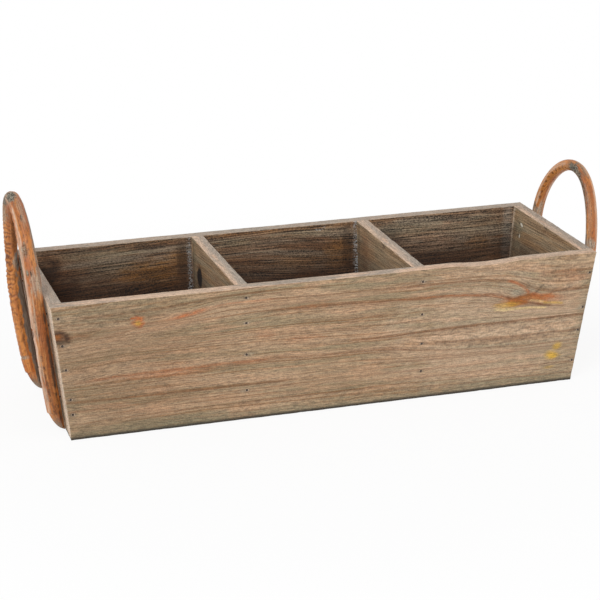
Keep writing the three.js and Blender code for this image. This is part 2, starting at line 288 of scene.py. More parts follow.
def grid_lines(length, step, radius):
    """Places from 0 to length, a step apart and closer together near both ends."""
    near = np.array(EDGE_LINES) * radius
    inner = np.linspace(near[-1], length - near[-1], max(2, round((length - 2 * near[-1]) / step)))
    return np.concatenate([near[:-1], inner, length - near[-2::-1]])


def block_surface(lines):
    """The points and outward quads of a block's surface on these grid lines along X, Y and Z."""
    shape = tuple(len(line) for line in lines)
    on_surface = np.zeros(shape, bool)
    for axis in range(3):
        for end in (0, -1):
            on_surface[tuple(end if a == axis else slice(None) for a in range(3))] = True
    number = np.full(shape, -1)
    number[on_surface] = np.arange(on_surface.sum())
    where = np.argwhere(on_surface)
    points = np.column_stack([lines[a][where[:, a]] for a in range(3)])
    quads = []
    for axis in range(3):
        for end in (0, -1):
            sheet = number[tuple(end if a == axis else slice(None) for a in range(3))]
            corners = [sheet[:-1, :-1], sheet[1:, :-1], sheet[1:, 1:], sheet[:-1, 1:]]
            if (end == 0) != (axis == 1):
                corners.reverse()
            quads.append(np.stack([c.ravel() for c in corners], axis=1))
    return points, np.concatenate(quads)


def carve_block(board, radius_at, depth_at):
    """A board's points and quads: its edges worn round, and its surface pressed in by depth_at."""
    lengths = board.lengths()
    steps = [0, 0, 0]
    steps[board.along], steps[board.across], steps[board.thick] = ALONG_STEP, ACROSS_STEP, THICK_STEP
    points, quads = block_surface([grid_lines(n, s, EDGE_RADIUS) for n, s in zip(lengths, steps)])
    radius = radius_at(points, lengths)[:, None]
    core = np.clip(points, radius, lengths - radius)
    out = points - core
    out /= np.linalg.norm(out, axis=1)[:, None]
    points = core + radius * out
    points -= out * depth_at(points, out, lengths)[:, None]
    return board.to_world(points / lengths), quads


# Grain, marks and wear, as numbers on the vertices. Places lie along a board and above the floor, on the base
# along and across it, in millimetres. A grain line is a level and the places that it runs through
FRONT_GRAIN = {
    0: [(-250, 0), (250, -3)],
    18: [(-250, 17), (-60, 20), (90, 18), (250, 15)],
    36: [(-250, 37), (-90, 35), (120, 33), (250, 31)],
    55: [(-250, 55), (-100, 57), (35, 55), (112, 46), (181, 41), (250, 42)],
    67: [(-250, 70), (-120, 71), (7, 68), (44, 65), (101, 67), (250, 67)],
    98: [(-250, 91), (-226, 92), (-208, 97), (-173, 99), (-31, 103), (52, 101), (109, 99), (152, 95),
         (172, 88), (192, 83), (225, 79), (250, 80)],
    113: [(-250, 106), (-208, 103), (-173, 103), (-147, 104), (-130, 107), (-103, 114), (5, 112), (137, 111),
          (156, 109), (170, 107), (180, 103), (192, 97), (216, 92), (250, 93)],
    125: [(-250, 120), (-160, 124), (0, 126), (250, 123)],
}
BACK_GRAIN = {
    0: [(-250, -4), (250, 2)],
    30: [(-250, 26), (-40, 33), (130, 30), (250, 34)],
    62: [(-250, 55), (-150, 60), (-90, 71), (-30, 66), (90, 60), (250, 66)],
    80: [(-250, 82), (-160, 86), (-110, 94), (-60, 88), (60, 78), (250, 84)],
    91: [(-250, 92), (-90, 99), (-32, 96), (70, 89), (250, 90)],
    122: [(-250, 117), (-90, 122), (40, 124), (250, 121)],
}
SMALL_BOARD_GRAIN = {
    0: [(-75, 3), (75, -2)],
    40: [(-75, 44), (0, 40), (75, 35)],
    75: [(-75, 82), (-10, 76), (75, 71)],
    110: [(-75, 112), (0, 109), (75, 104)],
}
BASE_GRAIN = {
    -60: [(-224, -58), (0, -62), (224, -57)],
    0: [(-224, 4), (-50, -3), (110, 5), (224, 0)],
    60: [(-224, 60), (0, 57), (224, 62)],
}

# Grain lines are blended over these shifts along the board. A streak fades this much wider on its lower side,
# and its ends taper this far outwards and inwards
LINE_BLEND = (-9, -3, 3, 9)
STREAK_FADE = 1.7
STREAK_TAPER = (12, 8)

# Streaks follow a grain level, by kind: level, first and last place along, half width, strength
FRONT_STREAKS = {
    "rust": [
        (113, -141, -118, 1.6, 1), (113, -112, -60, 0.7, 0.45), (55, -215, -60, 1, 0.38),
        (98, 60, 170, 0.8, 0.4),
    ],
    "brown": [
        (113, -60, 60, 0.7, 0.75), (113, -232, -145, 0.7, 0.7), (113, 60, 250, 0.8, 0.95),
        (55, -232, 60, 1.5, 0.65), (55, 60, 250, 0.8, 0.8), (98, -60, 172, 1.1, 1), (67, 20, 250, 0.9, 1),
        (67, -250, -150, 0.8, 0.5), (36, -242, -40, 0.9, 0.95), (28, -245, -130, 0.8, 0.8),
        (31, -60, 160, 0.7, 0.6), (121, -225, -60, 0.9, 0.8), (117, -245, -150, 0.8, 0.7),
        (108, -245, -180, 1, 0.5), (48, 90, 250, 0.7, 0.7), (105, -75, 5, 1.8, 0.4),
        (86, -30, 60, 1.2, 0.45), (43, 40, 230, 0.8, 0.7), (22, 60, 250, 0.7, 0.6),
        (16, -225, 30, 0.8, 0.7), (77, -120, 40, 0.7, 0.5), (60, 100, 250, 0.5, 0.6),
        (90, -210, -90, 0.6, 0.5), (11, 20, 245, 0.6, 0.5),
    ],
}
BACK_STREAKS = {
    "rust": [(62, -220, 20, 1.3, 0.5)],
    "brown": [
        (80, -60, 230, 1.2, 0.7), (30, -240, 200, 1, 0.6), (100, -230, 60, 0.9, 0.6),
        (46, -100, 240, 0.8, 0.5), (112, 0, 240, 0.8, 0.5),
    ],
}

# Marks are oval, by kind: place along and above the floor, half sizes, strength. Strokes follow a path, by
# kind: half width, strength, then the path's places
FRONT_MARKS = {
    "umber": [(-242.5, 98.2, 9.4, 10, 1), (-236.4, 98, 5, 6, 1)],
    "ember": [(-244, 99.4, 3.6, 3.2, 0.7), (176, 86.2, 19, 5.2, 1), (194, 87.6, 20, 5.4, 0.9)],
    "dark": [
        (-236.4, 97.6, 3.6, 5, 0.8), (-244, 93.6, 8, 2.4, 0.8), (-243, 103, 7, 1.8, 0.7),
        (247, 64, 7, 18, 0.35), (-232, 3, 18, 4, 0.4),
    ],
    "brown": [
        # The broad oval at -190 is painted shade that darkens the left part of the face
        (-226, 98, 22, 6, 0.7), (-190, 62, 100, 78, 0.34), (184, 87, 40, 11, 0.4), (224, 110, 26, 7, 0.4),
        (205, 86, 34, 6, 0.3), (190, 20, 10, 3, 0.4), (-200, 45, 40, 9, 0.25),
    ],
    "rust": [
        (-175.5, 105.2, 6.4, 5.8, 0.75), (206, 84.6, 18, 4, 0.3), (215, 109, 28, 5, 0.22),
        (232, 104, 12, 4, 0.2), (-30, 73, 26, 4, 0.22), (-20, 103, 24, 3.4, 0.25), (-62, 80, 10, 6, 0.2),
        (-150, 54, 46, 3.4, 0.28),
    ],
    "amber": [
        (-175, 104.6, 3.4, 2.8, 0.7), (165, 83.6, 13, 3.2, 0.6), (213, 27.8, 8, 4.8, 1),
        (218, 36.8, 4.8, 4.4, 0.8), (211.8, 16, 6, 1.6, 0.5),
    ],
    "moss": [
        (-220, 66, 60, 60, 0.3), (-200, 113, 60, 11, 0.9), (-238, 30, 15, 28, 0.55), (-200, 15, 44, 8, 0.5),
        (-95, 119, 60, 4.5, 0.5), (-100, 33, 60, 6, 0.3), (-10, 20, 80, 5, 0.3), (243, 60, 10, 50, 0.6),
        (150, 4, 105, 8, 0.8), (0, 4, 130, 7, 0.7), (-150, 5, 110, 9, 0.9), (222, 13, 28, 14, 0.65),
        (30, 119, 60, 5, 0.35),
    ],
    "bleach": [(165, 55, 120, 74, 0.3)],
    "grey": [(173.5, 95, 8.4, 5, 1), (189, 97, 5, 4, 0.5)],
}
FRONT_STROKES = {
    "rust": [
        (1.5, 0.75, (165, 107.4), (170, 105.8), (176, 102.2), (181.4, 98.8), (185.4, 94.4)),
        (2.2, 0.7, (190, 91.4), (199.8, 89.2), (210, 87)),
        (1.5, 1, (-180.4, 109.6), (-176, 110.4), (-172.4, 108), (-170.7, 104), (-172.8, 101)),
    ],
    "brown": [
        (1.4, 0.85, (142.7, 96.9), (149.5, 96.2), (157.4, 94.4), (165.3, 91.2), (171.5, 88)),
        (1.1, 0.7, (182, 98), (185.2, 94), (184, 90.5)),
        (0.9, 0.8, (184, 83.6), (196, 80.4), (221.6, 76.7)),
        (0.9, 0.85, (205.5, 91.1), (211.3, 92.2), (221.2, 92.4), (233.1, 92), (246, 92.6)),
        (1, 0.8, (-235.2, 101.8), (-225, 100.6), (-214.7, 101), (-207.8, 101.8)),
        (1, 0.65, (-229.3, 97.2), (-212.3, 93.5), (-199.4, 94.8), (-186.4, 96.8), (-173.3, 100.9)),
    ],
    "umber": [
        (1.5, 0.8, (164.4, 91.6), (171, 88.6), (178, 89.6), (186, 91), (193, 90.8)),
        (1.2, 0.75, (174.4, 87.2), (183, 84.6), (191, 82.8), (200, 80.2), (208, 78.6)),
    ],
    "bleach": [(1.2, 0.9, (-250, 126), (-235.4, 3))],
    "cream": [
        (1.1, 0.75, (187.2, 86.2), (193.2, 85), (200.2, 83.2)),
        (1.2, 0.85, (153.5, 80.2), (163.3, 79.1), (173.1, 79.1), (187.8, 78.6), (202.7, 77.3)),
    ],
    "amber": [(1.4, 0.6, (202, 82), (213, 80.8), (219, 79.6))],
    "dark": [
        (0.9, 0.75, (193, 93.4), (196.2, 96.5), (199.8, 100.5)),
        (0.9, 0.35, (100, 121.6), (126, 122.2), (150, 120.6)),
    ],
}
BACK_INNER_MARKS = {
    "glow": [
        (-126, 96, 34, 13, 1), (-102, 107, 15, 9, 0.7), (-120, 86, 30, 7, 0.7), (57, 97, 18, 15, 0.75),
        (18, 93, 30, 8, 0.4), (200, 95, 16, 9, 0.6), (0, 125.6, 232, 2.6, 0.3),
    ],
    "moss": [
        (-175, 118, 55, 6, 0.55), (-160, 104, 40, 7, 0.4), (-42, 117, 26, 5, 0.6), (25, 120, 40, 4, 0.45),
        (130, 114, 44, 9, 0.6), (195, 112, 36, 11, 0.5),
    ],
    # The dark ovals in the compartments' corners beside the ends and the dividers, the low bands near 80 mm
    # and the broad one at -160 are painted shade
    "dark": [
        (-226, 94, 19, 28, 1), (-212, 86, 30, 18, 1), (-160, 92, 84, 34, 0.2), (-96, 98, 8, 30, 0.8),
        (-70, 104, 8, 24, 0.35), (-48, 82, 26, 10, 0.7), (66, 98, 7, 28, 0.75), (104, 100, 22, 18, 0.75),
        (150, 82, 50, 9, 0.75), (226, 88, 9, 14, 0.7), (20, 79, 60, 8, 0.6), (-150, 79, 64, 9, 0.7),
        (172, 91, 3, 2, 0.9),
    ],
    # The umber oval is painted shade in the first compartment's left corner
    "umber": [(-222, 94, 24, 34, 0.8)],
    "bleach": [(150, 106, 90, 30, 0.16)],
}
BACK_INNER_STROKES = {
    "pale": [
        (1, 0.55, (-204, 89), (-176, 90.4), (-148, 89.4), (-124, 88), (-100, 87)),
        (0.9, 0.7, (176, 89.1), (196, 89.3), (223, 88.8)),
        (0.9, 0.7, (37, 120.4), (46, 122.2), (50, 124.4)),
    ],
    "dark": [
        (1.6, 0.6, (-204, 86), (-176, 87.2), (-148, 86.2), (-124, 84.8), (-100, 84)),
        (1.2, 0.5, (150, 87), (223, 85.6)), (0.9, 0.6, (34, 126), (52, 125.6)),
        (0.9, 0.6, (-205, 122.4), (-150, 121.2), (-110, 122.6)),
        (0.9, 0.65, (-60, 113), (-20, 114.4), (30, 112.6)), (0.9, 0.5, (95, 120), (140, 119), (190, 120.6)),
    ],
    "glue": [
        (2, 1, (-89.6, 126), (-89.6, 76)), (2.8, 1, (75, 126), (74.6, 100), (75, 76)),
        (1, 0.8, (34, 122.4), (39, 121.2), (43, 123.4)),
    ],
    "frost": [(6, 0.4, (232, 126), (228, 76))],
}
BACK_OUTER_MARKS = {
    "knot": [(-118, 79, 10, 8, 0.9), (148, 44, 6, 5, 0.8)],
    "rust": [(-96, 80, 20, 5, 0.4)],
    "moss": [(170, 112, 60, 9, 0.5), (0, 3, 240, 8, 0.7), (-230, 60, 18, 50, 0.5)],
    "brown": [(60, 50, 22, 4, 0.4)],
    "dark": [(-104, 79, 9, 2, 0.4)],
}
DIVIDER_1_MARKS = {
    "moss": [(64, 104, 5, 30, 0.6), (-40, 118, 30, 6, 0.3)],
    # The dark strip by the back wall is painted shade in the corner
    "dark": [(68, 96, 3, 30, 0.6)],
    "rust": [(-30, 110, 40, 8, 0.18)],
    "brown": [(30, 92, 14, 10, 0.4)],
    # The hole oval paints the shade inside a slot that the mesh doesn't have
    "hole": [(46.5, 95.4, 9, 9.4, 1)],
}
DIVIDER_1_STROKES = {
    # The umber stroke is painted shade round that slot
    "umber": [(9, 0.9, (47, 99), (47, 91))],
}
DIVIDER_2_MARKS = {
    "brown": [(52, 100, 14, 30, 0.75)],
    "rust": [(40, 108, 16, 16, 0.2)],
    "moss": [(6, 112, 18, 14, 0.5)],
    # The dark strip at 68, by the back wall, is painted shade in the corner
    "dark": [(18, 108.7, 2.4, 1.4, 0.5), (68, 104, 4, 30, 0.5)],
    "pale": [(0, 106, 70, 40, 0.6)],
}
DIVIDER_2_STROKES = {
    "dark": [(1.2, 0.9, (5, 126.5), (-2, 124.4), (-5, 123.4))],
}
LEFT_END_MARKS = {
    "moss": [(0, 120, 60, 9, 0.5), (-30, 20, 50, 20, 0.4)],
    "knot": [(20, 50, 7, 6, 0.8)],
    "rust": [(36, 52, 14, 3, 0.3)],
    "grey": [(-62, 120, 9, 8, 0.9), (62, 120, 9, 8, 0.8)],
}
LEFT_END_STROKES = {
    "bleach": [(5.6, 1, (-74, 128), (-61, 0))],
}
RIGHT_END_INNER_MARKS = {
    # The dark strip at 66, by the back wall, is painted shade in the corner
    "dark": [(66, 100, 6, 26, 0.4), (20, 88, 50, 8, 0.4)],
    "moss": [(57, 106, 9, 24, 0.6)],
    "brown": [(20, 96, 34, 12, 0.4), (-10, 122, 40, 4, 0.4)],
}
RIGHT_END_INNER_STROKES = {
    "dark": [(1.1, 0.9, (2, 126.2), (-5, 124.8))],
    "bleach": [(3.2, 1, (74, 127), (69.6, 78))],
    "shine": [(1.3, 1, (53.6, 114.8), (50.6, 113.4)), (1.2, 0.7, (54.4, 104.4), (53.8, 101.6))],
}
RIGHT_END_OUTER_MARKS = {
    "knot": [(-25, 72, 8, 6, 0.8)],
    "rust": [(-8, 73, 16, 4, 0.3)],
    "moss": [(0, 118, 70, 8, 0.5), (10, 8, 70, 10, 0.5)],
}
MARK_KINDS = (
    "rust", "brown", "amber", "cream", "moss", "grey", "glow", "dark", "pale", "bleach", "frost",
    "umber", "ember", "glue", "shine", "knot", "hole",
)
CRISP_KINDS = ("knot", "hole", "shine")
FIRM_KINDS = ("umber", "ember", "amber", "dark")

# The stain and the smear round a nail: half sizes, and how far the smear strays
NAIL_STAIN = (2.6, 1.9)
NAIL_SMEAR = (5.5, 2.4)
SMEAR_STRAY = 3

# The share of a surface's normal that points up or along at a rim or an end, and out or in at a face
EDGE_TURN = (0.5, 0.85)
FACE_TURN = (0.25, 0.7)

# Heights over the floor between which the mossy foot, the painted contact shadow along the bottom edge and
# the painted shade low on the inside faces set in
FOOT_HEIGHT = 14
SOLE_HEIGHTS = (4.4, 1.8)
PAINTED_SHADE_HEIGHTS = (118, 72)


def rows_of(groups):
    """The rows of a table that is grouped by kind, each with its kind in front."""
    return [(kind, *row) for kind, rows in groups.items() for row in rows]


def grain_level(lines, along, height):
    """The grain level of each point: what its height would be if the grain lines around it ran level."""
    levels = sorted(lines)
    shifted = [along + shift for shift in LINE_BLEND]
    heights = [np.mean([np.interp(a, *zip(*lines[n])) for a in shifted], axis=0) for n in levels]
    result = levels[0] + height - heights[0]
    for low, high, below, above in zip(heights, heights[1:], levels, levels[1:]):
        share = (height - low) / (high - low)
        result = np.where(share >= 0, below + share * (above - below), result)
    return result


def strongest(kinds, covers, count):
    """For each kind the strongest of its covers at each point, 0 where it has none."""
    fields = {kind: np.zeros(count) for kind in kinds}
    for kind, cover in covers:
        fields[kind] = np.maximum(fields[kind], cover)
    return fields


def stroke_distance(path, along, height):
    """The distance from each point to the nearest part of a path."""
    nearest = np.full(len(along), math.inf)
    for (x0, z0), (x1, z1) in zip(path, path[1:]):
        length = math.hypot(x1 - x0, z1 - z0)
        run = np.clip(((along - x0) * (x1 - x0) + (height - z0) * (z1 - z0)) / length**2, 0, 1)
        away = np.hypot(along - x0 - run * (x1 - x0), height - z0 - run * (z1 - z0))
        nearest = np.minimum(nearest, away)
    return nearest


def mark_fields(marks, strokes, along, height, seed):
    """How strongly each kind of mark covers each point, with ragged edges."""
    places = np.column_stack([along, height, np.zeros_like(along)])
    ragged = 0.26 * noise(places, (9, 3, 1), seed) + 0.16 * noise(places, (3, 1.2, 1), seed + 1)
    reaches = [(kind, strength, np.hypot((along - middle) / half_along, (height - level) / half_height))
               for kind, middle, level, half_along, half_height, strength in marks]
    reaches += [(kind, strength, stroke_distance(path, along, height) / half_width)
                for kind, half_width, strength, *path in strokes]
    covers = []
    for kind, strength, away in reaches:
        crisp = np.clip(1.3 - away - 0.3 * ragged, 0, 1)
        soft = smooth(1.2, 0.35, away + ragged)
        covers.append((kind, strength * (crisp if kind in CRISP_KINDS else soft)))
    return strongest(MARK_KINDS, covers, len(along))


def streak_fields(streaks, along, level):
    """Growth lines: sharp on top and fading downwards."""
    covers = []
    outer, inner = STREAK_TAPER
    for kind, middle, first, last, half_width, strength in rows_of(streaks):
        reach = smooth(first - outer, first + inner, along) * smooth(last + outer, last - inner, along)
        away = (level - middle) / half_width
        covers.append((kind, strength * reach * np.exp(-(np.where(away < 0, away / STREAK_FADE, away) ** 2))))
    return strongest(MARK_KINDS, covers, len(along))


def nail_marks(board, nails):
    """The stain and smear round each nail hole."""
    marks = []
    for number, node in enumerate(nails):
        head = nail_head(node)[0] / MM
        along, height = head[board.along], head[board.across]
        stray = SMEAR_STRAY * math.sin(2.1 * number)
        marks.append(("dark", along, height, *NAIL_STAIN, 0.6))
        marks.append(("grey", along + stray, height, *NAIL_SMEAR, 0.3 + 0.3 * math.sin(number)))
    return marks


def face_normal(board):
    """The outward unit normal of the board's outer face."""
    if board.thick == 2:
        return np.array([0, 0, -1.0])
    end = 0 if board.outside < 0 else 1
    run = (board.top[end] - board.bottom[end])[board.thick]
    normal = np.zeros(3)
    normal[board.thick] = board.outside * (board.high - board.low)
    normal[2] = -board.outside * run
    return normal / np.linalg.norm(normal)


def paint_board(piece, board, looks, seed):
    """Works out what the wood's material reads at each vertex of a finished board."""
    points, normals = mesh_points(piece.data), read_vectors(piece.data.vertex_normals, "vector")
    along = points[:, board.along] / MM
    height = points[:, board.across] / MM
    over_floor = points[:, 2] / MM
    thick_share = board.to_shares(points)[:, board.thick]
    depth = thick_share * board.lengths()[board.thick] / MM
    facing = normals @ face_normal(board)
    upward = normals[:, 2] if board.thick != 2 else np.zeros(len(points))
    sideways = np.abs(normals[:, board.along])
    places = np.column_stack([along, height, depth])
    level = grain_level(looks["grain"], along, height) + 1.1 * noise(places, (60, 15, 30), seed)
    level += 0.25 * noise(places, (14, 5, 9), seed + 7)
    on_rim = smooth(*EDGE_TURN, upward)
    inside, outside = smooth(*FACE_TURN, -facing), smooth(*FACE_TURN, facing)
    if looks.get("both_inside"):
        inside = np.maximum(inside, outside)
    tables = ("outer", "outer_strokes", "inner", "inner_strokes")
    rows = {name: rows_of(looks.get(name, {})) for name in tables}
    rows["outer"] += nail_marks(board, looks.get("nails", []))
    front = mark_fields(rows["outer"], rows["outer_strokes"], along, height, seed + 3)
    back = mark_fields(rows["inner"], rows["inner_strokes"], along, height, seed + 5)
    streaks = streak_fields(looks.get("streaks", {}), along, level)
    flattest = np.max([np.abs(facing), np.abs(upward), sideways], axis=0)
    inner_grey, outer_grey = looks.get("rim_grey", (0.5, 0.5))
    split = smooth(0.4, 0.6, thick_share + 0.05 * noise(places, (18, 9, 9), seed + 9))
    fields = {
        "grain": np.column_stack([along, level, depth]),
        "rim": on_rim,
        "rim_grey": inner_grey + (outer_grey - inner_grey) * split,
        "inside": inside * (1 - on_rim),
        "end_grain": smooth(*EDGE_TURN, sideways),
        "wear": smooth(0.985, 0.8, flattest),
        "foot": smooth(FOOT_HEIGHT, 0, over_floor) * outside,
        # Painted contact shadow along the bottom edge
        "sole_shadow": smooth(*SOLE_HEIGHTS, over_floor) * smooth(-0.2, 0.2, facing),
        # Painted shade low down, used on the inside faces
        "deep": smooth(*PAINTED_SHADE_HEIGHTS, over_floor),
    }
    for kind in MARK_KINDS:
        cover = np.maximum(front[kind] * outside, back[kind] * inside)
        fields[kind] = np.maximum(cover, streaks[kind] * outside)
    store_fields(piece.data, fields)


# Materials
def srgb(red, green, blue):
    """A colour as it shows on a screen, from 0 to 255, as the linear colour that shaders take."""
    shares = [c / 255 for c in (red, green, blue)]
    return (*[c / 12.92 if c <= 0.04045 else ((c + 0.055) / 1.055) ** 2.4 for c in shares], 1)


class Shader:
    """The nodes of a material or world under construction. Most calls add a node and give its output."""

    def __init__(self, owner):
        owner.use_nodes = True
        self.owner, self.tree = owner, owner.node_tree
        self.tree.nodes.clear()

    def add(self, kind, inputs, output=0, **settings):
        node = self.tree.nodes.new("ShaderNode" + kind)
        for name, value in settings.items():
            setattr(node, name, value)
        for name, value in inputs.items():
            if isinstance(value, bpy.types.NodeSocket):
                self.tree.links.new(value, node.inputs[name])
            else:
                node.inputs[name].default_value = value
        return node.outputs[output]

    def field(self, name):
        return self.add("Attribute", {}, output="Fac", attribute_name=name)

    def place(self, name):
        return self.add("Attribute", {}, output="Vector", attribute_name=name)

    def noise(self, vector, scale, detail, roughness, shift=(0, 0, 0), distortion=0.0):
        """Noise with lumps of this size, moved by shift so that two patterns on one vector differ."""
        rate = tuple(1 / n for n in scale)
        moved = self.add("VectorMath", {0: vector, 1: rate, 2: shift}, operation="MULTIPLY_ADD")
        inputs = {"Vector": moved, "Scale": 1.0, "Detail": detail,
                  "Roughness": roughness, "Distortion": distortion}
        return self.add("TexNoise", inputs)

    def ramp(self, value, low, high, bottom=0.0, top=1.0):
        inputs = {"Value": value, "From Min": low, "From Max": high, "To Min": bottom, "To Max": top}
        return self.add("MapRange", inputs, interpolation_type="SMOOTHSTEP")

    def math(self, operation, a, b=0.0):
        return self.add("Math", {0: a, 1: b}, operation=operation)

    def times(self, *values):
        return self.chain("MULTIPLY", values)

    def plus(self, *values):
        return self.chain("ADD", values)

    def mix(self, a, b, share):
        """Two colours mixed. Each is a node's output, or red, green and blue as a screen shows them."""
        a, b = (srgb(*colour) if isinstance(colour, tuple) else colour for colour in (a, b))
        return self.add("Mix", {0: share, 6: a, 7: b}, output=2, data_type="RGBA", clamp_factor=True)

    def seen_rays(self):
        """1 for camera rays and those that mirrors and glass send on, 0 for light that falls on things."""
        names = ("Is Camera Ray", "Is Glossy Ray", "Is Transmission Ray")
        return self.chain("MAXIMUM", [self.add("LightPath", {}, output=name) for name in names])

    def chain(self, operation, values):
        """The values combined from the first on."""
        result, *others = values
        for value in others:
            result = self.math(operation, result, value)
        return result

    def layers(self, colour, *layers):
        """The colour under these layers, each a colour and its share."""
        for tint, share in layers:
            colour = self.mix(colour, tint, share)
        return colour

    def scaled(self, colour, value):
        """The colour made lighter or darker by a value around 1."""
        return self.add("VectorMath", {0: colour, "Scale": value}, operation="SCALE")

    def finish(self, colour, roughness, height, bump, **constants):
        relief = self.add("Bump", {"Height": height, "Distance": bump, "Strength": 1.0})
        inputs = {"Base Color": colour, "Roughness": roughness, "Normal": relief, **constants}
        self.output(self.add("BsdfPrincipled", inputs))
        return self.owner

    def output(self, surface, kind="Material"):
        node = self.tree.nodes.new("ShaderNodeOutput" + kind)
        self.tree.links.new(surface, node.inputs["Surface"])


OUTSIDE_WOOD = {
    "tan": (180, 151, 121), "grey": (152, 133, 104), "pink": (188, 152, 120),
    "late": (134, 96, 60),
}
INSIDE_WOOD = {
    "tan": (136, 108, 83), "grey": (146, 128, 107), "pink": (128, 92, 63),
    "late": (76, 53, 37), "deep": (36, 26, 18),
}
DIVIDER_WOOD = {
    "tan": (172, 144, 112), "grey": (160, 144, 118), "pink": (176, 141, 102),
    "late": (138, 109, 79), "deep": (96, 76, 56),
}
RIM_WOOD = {
    "tan": (218, 188, 162), "grey": (170, 157, 143), "pink": (226, 190, 162),
    "late": (184, 144, 112),
}
# The ends' own paler end grain, made paler still as painted light on the board ends
END_GRAIN_WOOD = {
    "tan": (232, 210, 186), "grey": (212, 198, 180), "pink": (238, 212, 186),
    "late": (190, 164, 136),
}

# What each kind of mark looks like and how much of the wood it hides
MARK_LOOKS = {
    "bleach": ((222, 200, 176), 0.85),
    "moss": ((130, 124, 100), 0.75), "grey": ((150, 144, 126), 0.85), "brown": ((120, 78, 46), 0.9),
    "umber": ((92, 54, 25), 0.95), "ember": ((164, 94, 32), 0.95),
    "rust": ((184, 100, 50), 0.9), "amber": ((208, 164, 58), 0.95), "cream": ((232, 204, 144), 0.95),
    "glow": ((162, 110, 48), 0.8), "pale": ((176, 148, 116), 0.75), "dark": ((36, 25, 18), 0.88),
    "frost": ((176, 176, 166), 0.85),
}
GLUE = (184, 190, 192)
SHINE = (236, 230, 214)
# Painted shade inside the first divider's slot, which the mesh doesn't have
HOLE = (12, 5, 3)
KNOT = (150, 94, 52)
KNOT_RING = (84, 52, 34)
# Painted contact shadow along the boards' bottom edges
PAINTED_CONTACT_SHADOW = (40, 36, 30)
# Painted shade that browns the inside faces low down
PAINTED_LOW_SHADE = (84, 50, 26)

# How deep the fine relief of wood and cane looks
WOOD_RELIEF = 0.4 * MM


def bare_wood(shader, grain, colours, shift, contrast):
    """Colour of plain wood: broad tones and growth lines that follow the grain."""
    moved = [tuple(n + by for n in shift) for by in (31, 57, 83)]
    broad = shader.noise(grain, (170, 13, 24), 2.0, 0.5, shift)
    patch = shader.noise(grain, (60, 6, 12), 2.0, 0.55, moved[0])
    lines = shader.noise(grain, (240, 1.9, 3.4), 1.6, 0.55, moved[1], 0.15)
    thin = shader.noise(grain, (34, 0.9, 1.4), 2.0, 0.6, moved[2])
    late = shader.ramp(lines, 0.52, 0.66, 0, contrast)
    colour = shader.layers(
        colours["tan"],
        (colours["grey"], shader.ramp(broad, 0.42, 0.6, 0, 0.95)),
        (colours["pink"], shader.ramp(patch, 0.48, 0.64, 0, 0.85)),
        (colours["late"], late),
        (colours["late"], shader.ramp(thin, 0.52, 0.68, 0, 0.75 * contrast)),
    )
    return colour, late


